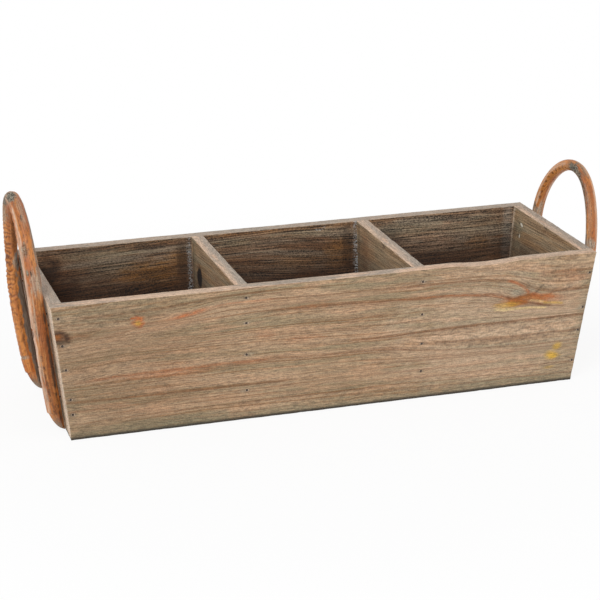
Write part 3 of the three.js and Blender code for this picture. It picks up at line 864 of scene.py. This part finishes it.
def wood_material(name, outside=OUTSIDE_WOOD, inside=INSIDE_WOOD, shift=(0, 0, 0), stained=0.9):
    """Weathered softwood: tan outside, stained inside, pale on the rim, with the marks that the board holds.

    stained is the contrast of the inside.
    """
    shader = Shader(bpy.data.materials.new(name))
    ramp, times = shader.ramp, shader.times
    grain = shader.place("grain")
    field = {kind: shader.field(kind) for kind in MARK_KINDS}
    rim, end_grain, stain = shader.field("rim"), shader.field("end_grain"), shader.field("inside")
    ragged = shader.noise(grain, (6, 0.8, 0.8), 3.0, 0.6, (5, 5, 5))
    fibre = shader.noise(grain, (7, 0.75, 0.9), 2.5, 0.62, shift)
    pore = shader.noise(grain, (4.2, 0.7, 0.8), 2.0, 0.6, (11, 11, 11))
    grit = shader.noise(grain, (1.5, 1.1, 1.1), 2.0, 0.65, (15, 5, 5))
    scratch = shader.noise(grain, (46, 0.9, 1.2), 2.0, 0.6, (21, 7, 2))
    soot = shader.noise(grain, (80, 1.8, 6), 3.0, 0.6, (3, 9, 4))

    colour, late = bare_wood(shader, grain, outside, shift, 0.62)
    dark_side = bare_wood(shader, grain, inside, (7, 3, 1), 0.8 * stained)[0]
    dark_side = shader.mix(dark_side, inside["deep"], ramp(soot, 0.5, 0.68, 0, 0.65 * stained))
    colour = shader.mix(colour, dark_side, stain)
    cover, firm = ramp(ragged, 0.3, 0.62, 0.4, 1), ramp(ragged, 0.3, 0.62, 0.75, 1)
    for kind, (tint, share) in MARK_LOOKS.items():
        colour = shader.mix(colour, tint, times(field[kind], firm if kind in FIRM_KINDS else cover, share))
    turn = shader.math("SINE", shader.plus(times(field["knot"], 15.0), times(ragged, 6.0)))
    knot = shader.mix(KNOT, KNOT_RING, ramp(turn, -0.5, 0.9, 0, 0.85))

    top = bare_wood(shader, grain, RIM_WOOD, (19, 2, 8), 0.42)[0]
    top = shader.mix(top, RIM_WOOD["grey"], times(shader.field("rim_grey"), ramp(ragged, 0.3, 0.6, 0.55, 1)))
    cut_end = bare_wood(shader, grain, END_GRAIN_WOOD, (4, 12, 28), 0.7)[0]
    worn = times(shader.field("wear"), ramp(ragged, 0.36, 0.6, 0.25, 0.9), 0.4)
    # deep carries the painted shade low on the inside faces
    deep = times(shader.field("deep"), stain)
    colour = shader.layers(
        colour,
        (knot, ramp(field["knot"], 0.05, 0.75, 0, 0.9)),
        (top, rim),
        # The ends' colour: their own end grain, partly painted light
        (cut_end, end_grain),
        (RIM_WOOD["tan"], times(worn, shader.math("SUBTRACT", 1.0, stain))),
        (MARK_LOOKS["moss"][0], times(shader.field("foot"), ramp(ragged, 0.3, 0.66, 0.35, 1), 0.45)),
        # Painted contact shadow along the bottom edge
        (PAINTED_CONTACT_SHADOW, times(shader.field("sole_shadow"), 0.9)),
        # Painted shade: browner low on the inside faces
        (PAINTED_LOW_SHADE, times(deep, 0.75 * stained)),
    )

    # Painted shade: darker towards the bottom of the inside faces
    colour = shader.scaled(colour, shader.plus(1.0, times(deep, -0.4)))
    fine = times(ramp(stain, 0, 1, 0.3, 0), ramp(fibre, 0.3, 0.7, -1, 1))
    scratched = times(stain, ramp(scratch, 0.3, 0.7, -0.9, 0.9), 0.2 + 0.65 * stained)
    coarse = times(ramp(stain, 0, 1, 0.22, 0.25 + 0.45 * stained), ramp(grit, 0.32, 0.68, -0.8, 0.8))
    colour = shader.scaled(colour, shader.plus(1.0, fine, scratched, coarse))
    colour = shader.layers(
        colour,
        (shader.scaled(colour, 0.45), times(ramp(pore, 0.56, 0.72), ramp(stain, 0, 1, 0.4, 0.5))),
        (GLUE, times(field["glue"], ramp(grit, 0.46, 0.58), 0.85)),
        (SHINE, ramp(field["shine"], 0.2, 0.6)),
        # Painted shade inside the first divider's slot
        (HOLE, ramp(field["hole"], 0.15, 0.5, 0, 0.95)),
    )
    height = shader.plus(times(fibre, 0.6), times(late, 0.4), times(grit, 0.4))
    return shader.finish(colour, ramp(fibre, 0.3, 0.7, 0.78, 0.92), height, WOOD_RELIEF)


# Light
WORLD_LEVEL = 0.496
KEY_PLACE = (-1.7, -2.1, 2.6)
KEY_SIZE = 1.6
KEY_POWER = 62
FILL_PLACE = (2.4, -1.6, 1.2)
FILL_SIZE = 1.8
FILL_POWER = 14
LIGHT_AIM = (0, 0, 0.08)
FLOOR_SIDES = 96
FLOOR_RADIUS = 6.0
FLOOR_WHITE = 0.95
FLOOR_WHITENED_REACH = (0.3, 0.6)
FLOOR_NEAR_WHITENED = 0.9


def new_area(name, place, size, power):
    data = bpy.data.lights.new(name, "AREA")
    data.shape = "DISK"
    data.size = size
    data.energy = power
    lamp = new_object(name, data)
    lamp.location = place
    lamp.rotation_euler = (Vector(LIGHT_AIM) - Vector(place)).to_track_quat("-Z", "Y").to_euler()


def new_floor():
    """A white floor that keeps a soft shadow near the trough and is plain white further off."""
    turn = np.linspace(0, 2 * math.pi, FLOOR_SIDES, endpoint=False)
    ring = FLOOR_RADIUS * np.column_stack([np.cos(turn), np.sin(turn), np.zeros(FLOOR_SIDES)])
    floor = new_mesh("floor", ring, [list(range(FLOOR_SIDES))])
    shader = Shader(bpy.data.materials.new("floor_white"))
    place = shader.add("TexCoord", {}, output="Object")
    distance = shader.add("VectorMath", {0: place}, output="Value", operation="LENGTH")
    matt = shader.add("BsdfDiffuse", {"Color": (FLOOR_WHITE, FLOOR_WHITE, FLOOR_WHITE, 1)})
    white = shader.add("Emission", {"Color": (1, 1, 1, 1), "Strength": 1.0})
    whitened = shader.ramp(distance, *FLOOR_WHITENED_REACH, FLOOR_NEAR_WHITENED, 1)
    share = shader.times(shader.seen_rays(), whitened)
    shader.output(shader.add("MixShader", {0: share, 1: matt, 2: white}))
    floor.data.materials.append(shader.owner)


def light_scene():
    scene = bpy.context.scene
    scene.view_settings.view_transform = "Standard"
    scene.world = bpy.data.worlds.new("studio")
    world = Shader(scene.world)
    level = world.add("MapRange", {"Value": world.seen_rays(), "To Min": WORLD_LEVEL})
    world.output(world.add("Background", {"Color": (1, 1, 1, 1), "Strength": level}), "World")
    new_area("key", KEY_PLACE, KEY_SIZE, KEY_POWER)
    new_area("fill", FILL_PLACE, FILL_SIZE, FILL_POWER)
    new_floor()


# The boards
def edge_radius(board, mated):
    """How far each edge point is worn round. A mated board's edges that meet the walls stay tight."""
    def radius_at(points, lengths):
        worn = 1 + 0.35 * noise(points, 14 * MM, 3) + 0.25 * noise(points, 4 * MM, 4)
        if mated:
            to_wall = np.minimum(points[:, board.along], lengths[board.along] - points[:, board.along])
            worn *= TIGHT_EDGE + (1 - TIGHT_EDGE) * smooth(0, TIGHT_REACH, to_wall)
        return EDGE_RADIUS * worn
    return radius_at


def surface_depth(board, grain, rough, seed):
    """How far the surface lies under the plain block: growth lines, saw marks, chips and a slight wave."""
    def depth_at(points, out, lengths):
        along = points[:, board.along] / MM - lengths[board.along] / MM / 2
        height = points[:, board.across] / MM
        places = np.column_stack([along, height, points[:, board.thick] / MM])
        rings = np.column_stack([along, grain_level(grain, along, height), places[:, 2]])
        lines = LINE_DEPTH * (1 + noise(rings, (160, 2.6, 3), seed))
        fibre = FIBRE_DEPTH * rough * (1 + noise(rings, (22, 1.3, 1.6), seed + 1))
        wave = WAVE_DEPTH * (1 + noise(places, (45, 22, 30), seed + 2))
        saw = SAW_DEPTH * rough * (1 + noise(places, (2.6, 40, 4), seed + 3))
        edge = 1 - np.abs(out).max(axis=1)
        chip = smooth(0.25, 0.7, noise(places, (7, 5, 5), seed + 4)) * smooth(0.02, 0.2, edge)
        return (lines + fibre + wave + saw + CHIP_DEPTH * chip) * MM
    return depth_at


def add_wane(points):
    """Lowers the worn stretch of the front wall's top edge, as on its CAD node."""
    share = np.clip(np.abs(points[:, 0] - WANE_CENTRE) / (WANE_LENGTH / 2), 0, 1)
    top = points[:, 2].max()
    points[:, 2] -= WANE_DEPTH * (1 - share**2) * smooth(top - WANE_REACH, top, points[:, 2])


def fill_joints(points, board):
    """Carries a board's ends, and all of the base's edges, over the gap to the boards that they meet."""
    for axis in (0, 1) if board.thick == 2 else (1,):
        points[:, axis] *= 1 + JOINT_FILL / np.abs(points[:, axis]).max()


def build_board(node, sides, outside, material, looks, mated=True, rough=1.0, seed=0):
    board = Board(node, *sides, outside)
    radius_at, depth_at = edge_radius(board, mated), surface_depth(board, looks["grain"], rough, seed)
    points, quads = carve_block(board, radius_at, depth_at)
    if mated:
        fill_joints(points, board)
    if node == "front_board":
        add_wane(points)
    piece = new_mesh(node + "_wood", points, quads.tolist())
    if "nails" in looks:
        drill(piece, looks["nails"])
    smooth_over(piece, BOARD_CREASE)
    paint_board(piece, board, looks, seed)
    finish_piece(piece, node, material)


def build_boards():
    wall_wood = wood_material("weathered_fir_wall")
    end_wood = wood_material("weathered_fir_end", inside=DIVIDER_WOOD, shift=(40, 40, 40), stained=0.4)
    divider_wood = wood_material("stained_fir_divider", inside=DIVIDER_WOOD, shift=(80, 60, 20), stained=0.4)
    base_wood = wood_material("stained_fir_base", shift=(20, 90, 50))
    build_board("front_board", WALL_SIDES, -1, wall_wood, {
        "grain": FRONT_GRAIN, "streaks": FRONT_STREAKS, "outer": FRONT_MARKS, "outer_strokes": FRONT_STROKES,
        "nails": nails_of("front_nail"), "rim_grey": (0.1, 0.3),
    }, mated=False, seed=10)
    build_board("back_board", WALL_SIDES, 1, wall_wood, {
        "grain": BACK_GRAIN, "streaks": BACK_STREAKS, "outer": BACK_OUTER_MARKS, "inner": BACK_INNER_MARKS,
        "inner_strokes": BACK_INNER_STROKES, "nails": nails_of("back_nail"), "rim_grey": (0.95, 0.9),
    }, mated=False, rough=1.6, seed=20)
    build_board("left_end_board", END_SIDES, -1, end_wood, {
        "grain": SMALL_BOARD_GRAIN, "outer": LEFT_END_MARKS, "outer_strokes": LEFT_END_STROKES,
        "nails": nails_of("left_base_nail"), "rim_grey": (0.85, 0.4),
    }, seed=30)
    build_board("right_end_board", END_SIDES, 1, end_wood, {
        "grain": SMALL_BOARD_GRAIN, "outer": RIGHT_END_OUTER_MARKS, "inner": RIGHT_END_INNER_MARKS,
        "inner_strokes": RIGHT_END_INNER_STROKES, "nails": nails_of("right_base_nail"),
        "rim_grey": (0.05, 0.95),
    }, seed=40)
    build_board("divider_1", END_SIDES, -1, divider_wood, {
        "grain": SMALL_BOARD_GRAIN, "outer": DIVIDER_1_MARKS, "outer_strokes": DIVIDER_1_STROKES,
        "both_inside": True, "rim_grey": (0.05, 0.95),
    }, seed=50)
    build_board("divider_2", END_SIDES, -1, divider_wood, {
        "grain": SMALL_BOARD_GRAIN, "outer": DIVIDER_2_MARKS, "outer_strokes": DIVIDER_2_STROKES,
        "both_inside": True, "rim_grey": (0.1, 0.65),
    }, seed=60)
    build_board("base_board", SLAB_SIDES, -1, base_wood, {
        "grain": BASE_GRAIN,
    }, rough=1.5, seed=70)


# Places on a cane are arc length from the first leg's tip, and degrees round it from the side that faces away
# from the board towards the inside of the arch. Patches, by kind: place along, degrees, half sizes, strength
LEFT_PATCHES = {
    "wrinkle": [(128, 28, 70, 62, 1), (50, 10, 30, 44, 0.35)],
    "grey": [
        (186, 20, 18, 60, 0.8), (222, -44, 26, 100, 0.9), (124, 112, 10, 26, 0.9), (33, 40, 2.4, 50, 0.9),
        (3, 60, 5, 90, 0.5), (352, -52, 36, 9, 0.8), (258, -104, 19, 28, 0.6), (272, -168, 38, 26, 1),
        (299, -148, 26, 22, 0.9), (322, -130, 16, 46, 0.95), (320, -88, 13, 36, 0.75),
        (398, -52, 26, 8, 0.7), (392, -168, 66, 24, 1),
    ],
    "bark": [
        (234, -60, 14, 48, 1), (208, 0, 14, 36, 0.9), (265, -86, 4, 12, 0.6), (291, -58, 7, 22, 0.7),
        (312, -44, 3, 9, 1), (312, -72, 3, 9, 1),
    ],
    "brown": [
        # The brown patch at 158 is painted shade on the back leg's inner side
        (158, 122, 44, 32, 0.8), (82, 84, 7, 13, 0.7), (67, 84, 8, 13, 0.8), (50, 78, 7, 13, 0.8),
        (38, 76, 5, 12, 0.7), (97, 88, 6, 13, 0.6), (9, 40, 6, 60, 0.5), (110, 92, 6, 14, 0.6),
        (264, -60, 14, 7, 0.5), (352, -86, 40, 50, 0.45), (263, -92, 2.6, 9, 1), (272, -66, 3, 9, 0.8),
        (281, -72, 2.4, 8, 0.8), (304, -92, 3, 10, 0.8), (327, -78, 2.6, 9, 0.8), (335, -70, 2.4, 8, 0.8),
        (363, -68, 5, 12, 0.85), (386, -64, 6, 14, 0.8), (396, -72, 5, 14, 1), (404, -70, 4, 12, 0.9),
        (411, -72, 5, 18, 0.9), (419, -78, 5, 18, 0.9), (428, -80, 5, 20, 0.8), (438, -92, 6, 24, 0.8),
        (451, -95, 6, 60, 0.6), (412, -90, 60, 60, 0.42), (300, -90, 70, 60, 0.22),
    ],
    # The slate patches are grey skin darkened with painted shade, on the back leg's inner side and along the
    # front leg's edge by the board
    "grey_skin_and_painted_shade": [(60, 131, 74, 34, 1), (340, -160, 20, 16, 0.5)],
    "gold": [(100, 30, 96, 74, 0.4)],
    # The pale patches are pale skin, partly painted sheen along the legs' edges
    "pale": [
        (262, -34, 15, 13, 1), (283, -30, 13, 16, 0.9), (305, -14, 18, 22, 0.9), (342, -8, 40, 32, 1),
        (390, -20, 36, 28, 1), (430, -42, 22, 24, 0.85),
    ],
    "swell": [(312, -4, 60, 46, 1), (60, 20, 62, 64, 0.9)],
    # The umber patch along the front leg is a painted shadow line where the leg meets the board
    "umber": [(392, -128, 66, 13, 1)],
}
RIGHT_PATCHES = {
    "wrinkle": [(236, 168, 26, 44, 0.3)],
    "grey": [
        (298, 84, 12, 40, 0.8), (199, -88, 15, 24, 0.6), (148, 178, 30, 17, 0.85), (121, -120, 6, 80, 1),
        (304, 124, 7, 66, 1), (60, 170, 60, 40, 0.6), (370, 170, 50, 50, 0.6),
    ],
    "bark": [
        (202, -168, 18, 72, 1), (212, 144, 9, 34, 0.9), (188, 176, 10, 30, 0.9), (168, 178, 22, 15, 0.8),
        (168, -152, 20, 8, 0.6), (299, 166, 3, 20, 1), (178, -166, 16, 11, 0.6),
    ],
    # The pale patches are pale skin, partly painted sheen along the legs' edges
    "pale": [
        (156, -142, 32, 15, 0.45), (164, -50, 54, 28, 0.7), (216, -80, 20, 14, 0.6),
        (244, -172, 26, 22, 0.6), (290, 156, 9, 18, 0.8), (274, 172, 7, 16, 0.7), (262, 62, 38, 24, 0.9),
        (262, 178, 6, 12, 0.6), (283, 148, 3.6, 13, 0.7), (267.5, 162, 3.4, 12, 0.6),
    ],
    "brown": [
        (156, -104, 48, 36, 0.4), (186, -122, 8, 16, 0.6), (287, 130, 2.4, 14, 0.8),
        (280, 137, 2.2, 15, 0.85), (273, 143, 2, 15, 0.85), (266, 149, 1.9, 16, 0.8),
        (259, 153, 1.8, 16, 0.8), (251, 153, 1.6, 17, 0.8), (244, 156, 1.5, 18, 0.75),
        (237, 158, 1.4, 19, 0.7), (230, 161, 1.3, 20, 0.6), (360, 60, 12, 30, 0.4), (60, -120, 12, 30, 0.4),
        (146, -124, 44, 32, 0.5),
    ],
    "gold": [(129, -166, 7, 26, 1), (246, 160, 54, 66, 0.8)],
    "swell": [
        (283, 148, 3.4, 13, 0.45), (275, 154, 3.2, 12, 0.45), (267.5, 160, 3, 12, 0.45),
        (260.5, 166, 3, 12, 0.4), (253.5, 172, 3, 12, 0.35),
    ],
    "umber": [(203, -162, 13, 26, 0.45), (212, 146, 8, 22, 0.4), (180, -174, 15, 13, 0.6)],
}
PATCH_KINDS = ("wrinkle", "swell", "bark", "grey", "grey_skin_and_painted_shade", "brown", "umber", "pale", "gold")
LEFT_NODES = [33, 242, 396]
RIGHT_NODES = [74, 335]
LEFT_WRINKLE_PITCH = 5.4
RIGHT_WRINKLE_PITCH = 3.4
CANE_FINE = 4000
PATCH_RADIUS = 6


class Cane:
    """One bent cane in the frame of its end board, in millimetres.

    x runs out of the board, y along it, and z up its slope from the rim. The legs run beside the board's
    slanted edges up to an ellipse, and the arch follows it.
    """

    def __init__(self, node, board, sizes, mirror):
        self.node, self.sizes, self.mirror = node, sizes, mirror
        end = 0 if board.outside < 0 else 1
        rim, floor = np.abs(board.top[end]) / MM, np.abs(board.bottom[end]) / MM
        height = board.high / MM
        self.lean = math.atan((rim[0] - floor[0]) / height)
        self.slope = height / math.cos(self.lean)
        self.spread = (rim[1] - floor[1]) / self.slope
        self.edge = rim[1] + JOINT_GAP
        self.middle = mirror * sizes["off_centre"]
        self.arch = sizes["rise"] + sizes["bend_start"]
        reach = self.reach(-sizes["bend_start"])
        self.bend = math.asin(self.spread * self.arch / reach)
        self.half_spacing = reach * math.cos(self.bend)
        turn = Matrix.Rotation(0 if mirror > 0 else math.pi, 4, "Z") @ Matrix.Rotation(self.lean, 4, "Y")
        self.to_board = np.array(Matrix.Translation((mirror * rim[0], 0, height)) @ turn)
        self.line = self.even_line()
        self.steps = np.arange(len(self.line)) * self.length / (len(self.line) - 1)

    def reach(self, z):
        """Half the distance between the straight legs, carried on above them."""
        return self.edge + self.spread * z - self.sizes["margin"]

    def foot(self, side):
        """The height of a leg's tip, on the -1 or the 1 side."""
        height = self.sizes["front_foot" if side * self.mirror < 0 else "back_foot"]
        return height / math.cos(self.lean) - self.slope

    def offset(self, z):
        """The middle line's distance from the board's face."""
        rise, bow, lean = self.sizes["rise"], self.sizes["leg_bow"], self.sizes["apex_lean"]
        over = -4 * bow * z / self.slope + lean * (z / rise) ** 2
        under = bow * (1 - (1 + 2 * z / self.slope) ** 2)
        return self.sizes["seat_offset"] + np.where(z > 0, over, under)

    def even_line(self):
        """Points of the middle line about one step apart."""
        start = self.sizes["bend_start"]
        angle = np.linspace(-self.bend, math.pi + self.bend, CANE_FINE)
        arch = self.arch * np.sin(angle) - start
        first, last = [np.linspace(self.foot(side), arch[0], CANE_FINE, endpoint=False) for side in (-1, 1)]
        y = np.concatenate([-self.reach(first), -self.half_spacing * np.cos(angle), self.reach(last[::-1])])
        z = np.concatenate([first, arch, last[::-1]])
        line = np.column_stack([self.offset(z), self.middle + y, z])
        run = np.concatenate([[0], np.cumsum(np.linalg.norm(np.diff(line, axis=0), axis=1))])
        self.length = run[-1]
        even = np.linspace(0, self.length, round(self.length / CANE_STEP) + 1)
        return np.column_stack([np.interp(even, run, axis) for axis in line.T])

    def patch_fields(self, patches, along, degrees, seed):
        turn = np.radians(degrees)
        places = np.column_stack([along, PATCH_RADIUS * np.cos(turn), PATCH_RADIUS * np.sin(turn)])
        ragged = 0.3 * noise(places, (7, 4, 4), seed) + 0.25 * noise(places, (3, 1.6, 1.6), seed + 1)
        covers = []
        for kind, middle, facing, half_along, half_degrees, strength in rows_of(patches):
            turned = (degrees - facing + 180) % 360 - 180
            away = np.hypot((along - middle) / half_along, turned / half_degrees)
            covers.append((kind, strength * smooth(1.2, 0.5, away + ragged)))
        return strongest(PATCH_KINDS, covers, len(along))

    def folds(self, places, pitch, seed):
        """Cross wrinkles, from 0 between them to 1 in their grooves."""
        turns = places[:, 0] / pitch + 0.5 * noise(places, (9, 4, 4), seed) + 0.3 * noise(places, 3, seed + 1)
        return (0.5 + 0.5 * np.cos(2 * math.pi * turns)) ** 2

    def depth(self, places, fields, nodes, seed):
        """How far the bark lies under the plain round cane."""
        along = places[:, 0]
        fine = 1 + noise(places, (24, 0.9, 0.9), seed + 2)
        depth = 0.10 * (1 + noise(places, (22, 9, 9), seed))
        depth += 0.15 * (1 + noise(places, (70, 1.9, 1.9), seed + 1))
        depth += 0.05 * fine + 0.12 * fields["grey"] * fine
        rough = BARK_DEPTH * (1 + noise(places, 1.5, seed + 3))
        depth += FOLD_DEPTH * fields["fold"] + rough * fields["bark"]
        depth -= SWELL * fields["swell"]
        for place in nodes:
            depth += NODE_DEPTH * np.exp(-(((along - place) / NODE_WIDTH) ** 2))
            depth -= NODE_LIP * np.exp(-(((along - place - NODE_LIP_PLACE) / NODE_LIP_WIDTH) ** 2))
        return np.maximum(depth, -SWELL)

    def skin(self, patches, nodes, pitch, seed):
        """The cane's surface: its points, faces and what its material reads."""
        tangent = np.gradient(self.line, axis=0)
        tangent /= np.linalg.norm(tangent, axis=1)[:, None]
        outward = np.array([1.0, 0, 0]) - tangent[:, :1] * tangent
        outward /= np.linalg.norm(outward, axis=1)[:, None]
        inward = np.cross(tangent, outward)
        count = len(self.line)
        degrees = np.tile(np.arange(CANE_SIDES) * 360 / CANE_SIDES, count)
        along = np.repeat(self.steps, CANE_SIDES)
        radius, turn = self.sizes["diameter"] / 2, np.radians(degrees)[:, None]
        places = np.column_stack([along, radius * np.cos(turn[:, 0]), radius * np.sin(turn[:, 0])])
        fields = self.patch_fields(patches, along, degrees, seed)
        fields["fold"] = fields.pop("wrinkle") * self.folds(places, pitch, seed + 4)
        outward, inward = np.repeat(outward, CANE_SIDES, 0), np.repeat(inward, CANE_SIDES, 0)
        out = np.cos(turn) * outward + np.sin(turn) * inward
        bark = radius - self.depth(places, fields, nodes, seed)
        points, fields["cut"] = self.whittled(np.repeat(self.line, CANE_SIDES, 0) + bark[:, None] * out)
        fields["cane"] = places
        first = np.arange((count - 1) * CANE_SIDES).reshape(count - 1, CANE_SIDES)
        beside = np.roll(first, -1, axis=1)
        quads = np.stack([first, first + CANE_SIDES, beside + CANE_SIDES, beside], axis=2).reshape(-1, 4)
        last = (count - 1) * CANE_SIDES
        caps = [list(range(CANE_SIDES)), list(range(last, last + CANE_SIDES))[::-1]]
        return points, quads.tolist() + caps, fields

    def whittled(self, points):
        """The legs filled out to the board, sawn flat on its side and rounded at the foot."""
        radius = self.sizes["diameter"] / 2
        middle = self.offset(points[:, 2])
        shoulder = SEAT_RISE + SEAT_SHOULDER
        bridged = np.maximum(middle - radius - SEAT_GAP, 0) * smooth(shoulder, 0, points[:, 2])
        points[:, 0] -= bridged * smooth(0.1, 0.8, (middle - points[:, 0]) / radius)
        limit = np.interp(points[:, 2], [SEAT_RISE, shoulder], [SEAT_GAP, -radius])
        limit = np.where(points[:, 2] > shoulder, -math.inf, limit)
        sawn = smooth(-0.4, 0.1, limit - points[:, 0])
        points[:, 0] = np.maximum(points[:, 0], limit)
        side = np.where(points[:, 1] < self.middle, -1, 1)
        foot = np.where(side < 0, self.foot(-1), self.foot(1))
        beside, rise = points[:, 1] - self.middle - side * self.reach(foot), points[:, 2] - foot
        slant, tilt = side * self.spread, math.hypot(1, self.spread)
        height, across = (rise + slant * beside) / tilt, (beside - slant * rise) / tilt
        dome = WHITTLE_LENGTH / (1 - math.sqrt(1 - WHITTLE_SHARE**2))
        share = np.sin(np.arccos(1 - np.clip(height, 0.05, WHITTLE_LENGTH) / dome)) / WHITTLE_SHARE
        across += self.mirror * TIP_DRIFT * radius * (1 - share)
        thickness = self.sizes["seat_offset"] + radius - SEAT_GAP
        past = np.hypot(across / (radius * share), (points[:, 0] - SEAT_GAP) / (thickness * share))
        keep = np.where((height < WHITTLE_LENGTH) & (past > 1), 1 / past, 1)
        points[:, 0] = SEAT_GAP + (points[:, 0] - SEAT_GAP) * keep
        points[:, 1] += across * (keep - 1) / tilt
        points[:, 2] -= slant * across * (keep - 1) / tilt
        tip = smooth(WHITTLE_LENGTH, 4, height) * smooth(0.9, 1.1, past)
        return points, np.maximum(sawn, tip)

    def build(self, patches, nodes, pitch, material, seed):
        points, faces, fields = self.skin(patches, nodes, pitch, seed)
        points = points @ self.to_board[:3, :3].T + self.to_board[:3, 3]
        piece = new_mesh(self.node + "_cane", points * MM, faces)
        store_fields(piece.data, fields)
        drill(piece, nails_of(self.node + "_nail"))
        smooth_over(piece, CANE_CREASE)
        finish_piece(piece, self.node, material)


def cane_material():
    """Half-peeled cane: orange with lighter and deeper streaks, folds, grey weathered skin and dark bark,
    with painted shade on the legs and painted sheen along their edges.
    """
    shader = Shader(bpy.data.materials.new("peeled_cane"))
    ramp, times, mix = shader.ramp, shader.times, shader.mix
    place = shader.place("cane")
    kinds = ("fold", "bark", "grey", "grey_skin_and_painted_shade", "brown", "umber", "pale", "gold", "cut")
    field = {kind: shader.field(kind) for kind in kinds}
    broad = shader.noise(place, (40, 5, 5), 2.0, 0.5)
    streak = shader.noise(place, (60, 1.5, 1.5), 2.5, 0.6, (7, 7, 7))
    thin = shader.noise(place, (12, 0.9, 0.9), 3.0, 0.65, (17, 3, 3))
    spot = shader.noise(place, (3.2, 1.5, 1.5), 3.0, 0.6, (3, 17, 3))
    crumb = shader.noise(place, (1.6, 1.3, 1.3), 3.0, 0.7, (9, 2, 5))
    cover = ramp(thin, 0.3, 0.58, 0.45, 1)
    skin = mix((150, 136, 120), (192, 172, 150), ramp(streak, 0.42, 0.6))
    skin = mix(skin, (88, 80, 70), ramp(crumb, 0.52, 0.66, 0, 0.85))
    # Grey skin darkened with painted shade
    grey_skin_and_painted_shade = mix((132, 122, 112), (84, 78, 72), ramp(thin, 0.4, 0.6))
    bark = mix((138, 130, 112), (40, 38, 32), ramp(crumb, 0.44, 0.56))
    bark = mix(bark, (192, 182, 164), ramp(spot, 0.56, 0.68, 0, 0.95))
    cut = mix((150, 140, 126), (106, 96, 84), ramp(thin, 0.4, 0.62))
    colour = shader.layers(
        mix((206, 130, 60), (180, 100, 42), ramp(broad, 0.38, 0.62)),
        ((214, 150, 90), ramp(streak, 0.53, 0.66, 0, 0.6)),
        ((150, 82, 34), ramp(streak, 0.45, 0.34, 0, 0.5)),
        ((182, 144, 104), ramp(thin, 0.56, 0.72, 0, 0.4)),
        ((112, 66, 34), ramp(spot, 0.55, 0.68, 0, 0.8)),
        ((226, 152, 78), times(field["gold"], 0.85)),
        ((100, 48, 18), times(field["fold"], ramp(spot, 0.35, 0.55, 0.5, 1))),
        # Pale skin, partly painted sheen along the canes' edges
        ((216, 180, 152), times(field["pale"], cover)),
        ((92, 54, 31), times(field["brown"], ramp(crumb, 0.32, 0.58, 0.4, 1))),
        (skin, times(field["grey"], cover)),
        # Umber: dark bark on the right handle, and on the left handle a painted shadow line beside the front
        # leg
        ((62, 50, 42), times(field["umber"], 0.9)),
        # Grey skin darkened with painted shade
        (grey_skin_and_painted_shade, ramp(field["grey_skin_and_painted_shade"], 0.2, 0.7, 0, 0.95)),
        (bark, times(field["bark"], ramp(spot, 0.25, 0.5, 0.7, 1))),
        (cut, times(field["cut"], ramp(spot, 0.25, 0.55, 0.35, 0.8))),
    )
    colour = shader.scaled(colour, ramp(thin, 0.28, 0.72, 0.8, 1.18))
    height = shader.plus(times(thin, 0.5), times(crumb, 0.35), times(streak, 0.3))
    rough = ramp(shader.plus(field["grey"], field["bark"], field["cut"]), 0, 0.8, 0.5, 0.85)
    return shader.finish(colour, rough, height, WOOD_RELIEF)


def build_canes():
    material = cane_material()
    left = Cane("left_handle", Board("left_end_board", *END_SIDES, -1), LEFT_HANDLE, -1)
    right = Cane("right_handle", Board("right_end_board", *END_SIDES, 1), RIGHT_HANDLE, 1)
    left.build(LEFT_PATCHES, LEFT_NODES, LEFT_WRINKLE_PITCH, material, 110)
    right.build(RIGHT_PATCHES, RIGHT_NODES, RIGHT_WRINKLE_PITCH, material, 210)


# Sizes of the nails' blotches and scratches
NAIL_BLOTCH = (1.1 * MM, 1.1 * MM, 1.1 * MM)
NAIL_SCRATCH = (0.3 * MM, 1.2 * MM, 1.2 * MM)
NAIL_RELIEF = 0.08 * MM


def dress_nails():
    """The CAD nails keep their shape and get dull steel with rust and scratches."""
    shader = Shader(bpy.data.materials.new("dull_wire_nail"))
    place = shader.add("TexCoord", {}, output="Object")
    blotch = shader.noise(place, NAIL_BLOTCH, 3.0, 0.6)
    scratch = shader.noise(place, NAIL_SCRATCH, 3.0, 0.6, (3, 1, 4))
    colour = shader.layers(
        (84, 74, 66),
        ((52, 42, 35), shader.ramp(blotch, 0.42, 0.62)),
        ((110, 66, 42), shader.ramp(scratch, 0.56, 0.7, 0, 0.7)),
    )
    rough = shader.ramp(blotch, 0.3, 0.7, 0.38, 0.7)
    steel = shader.finish(colour, rough, scratch, NAIL_RELIEF, Metallic=0.4)
    for name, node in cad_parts.items():
        if "_nail_" in name:
            node.data.materials.clear()
            node.data.materials.append(steel)


new_camera()
light_scene()
build_boards()
build_canes()
dress_nails()
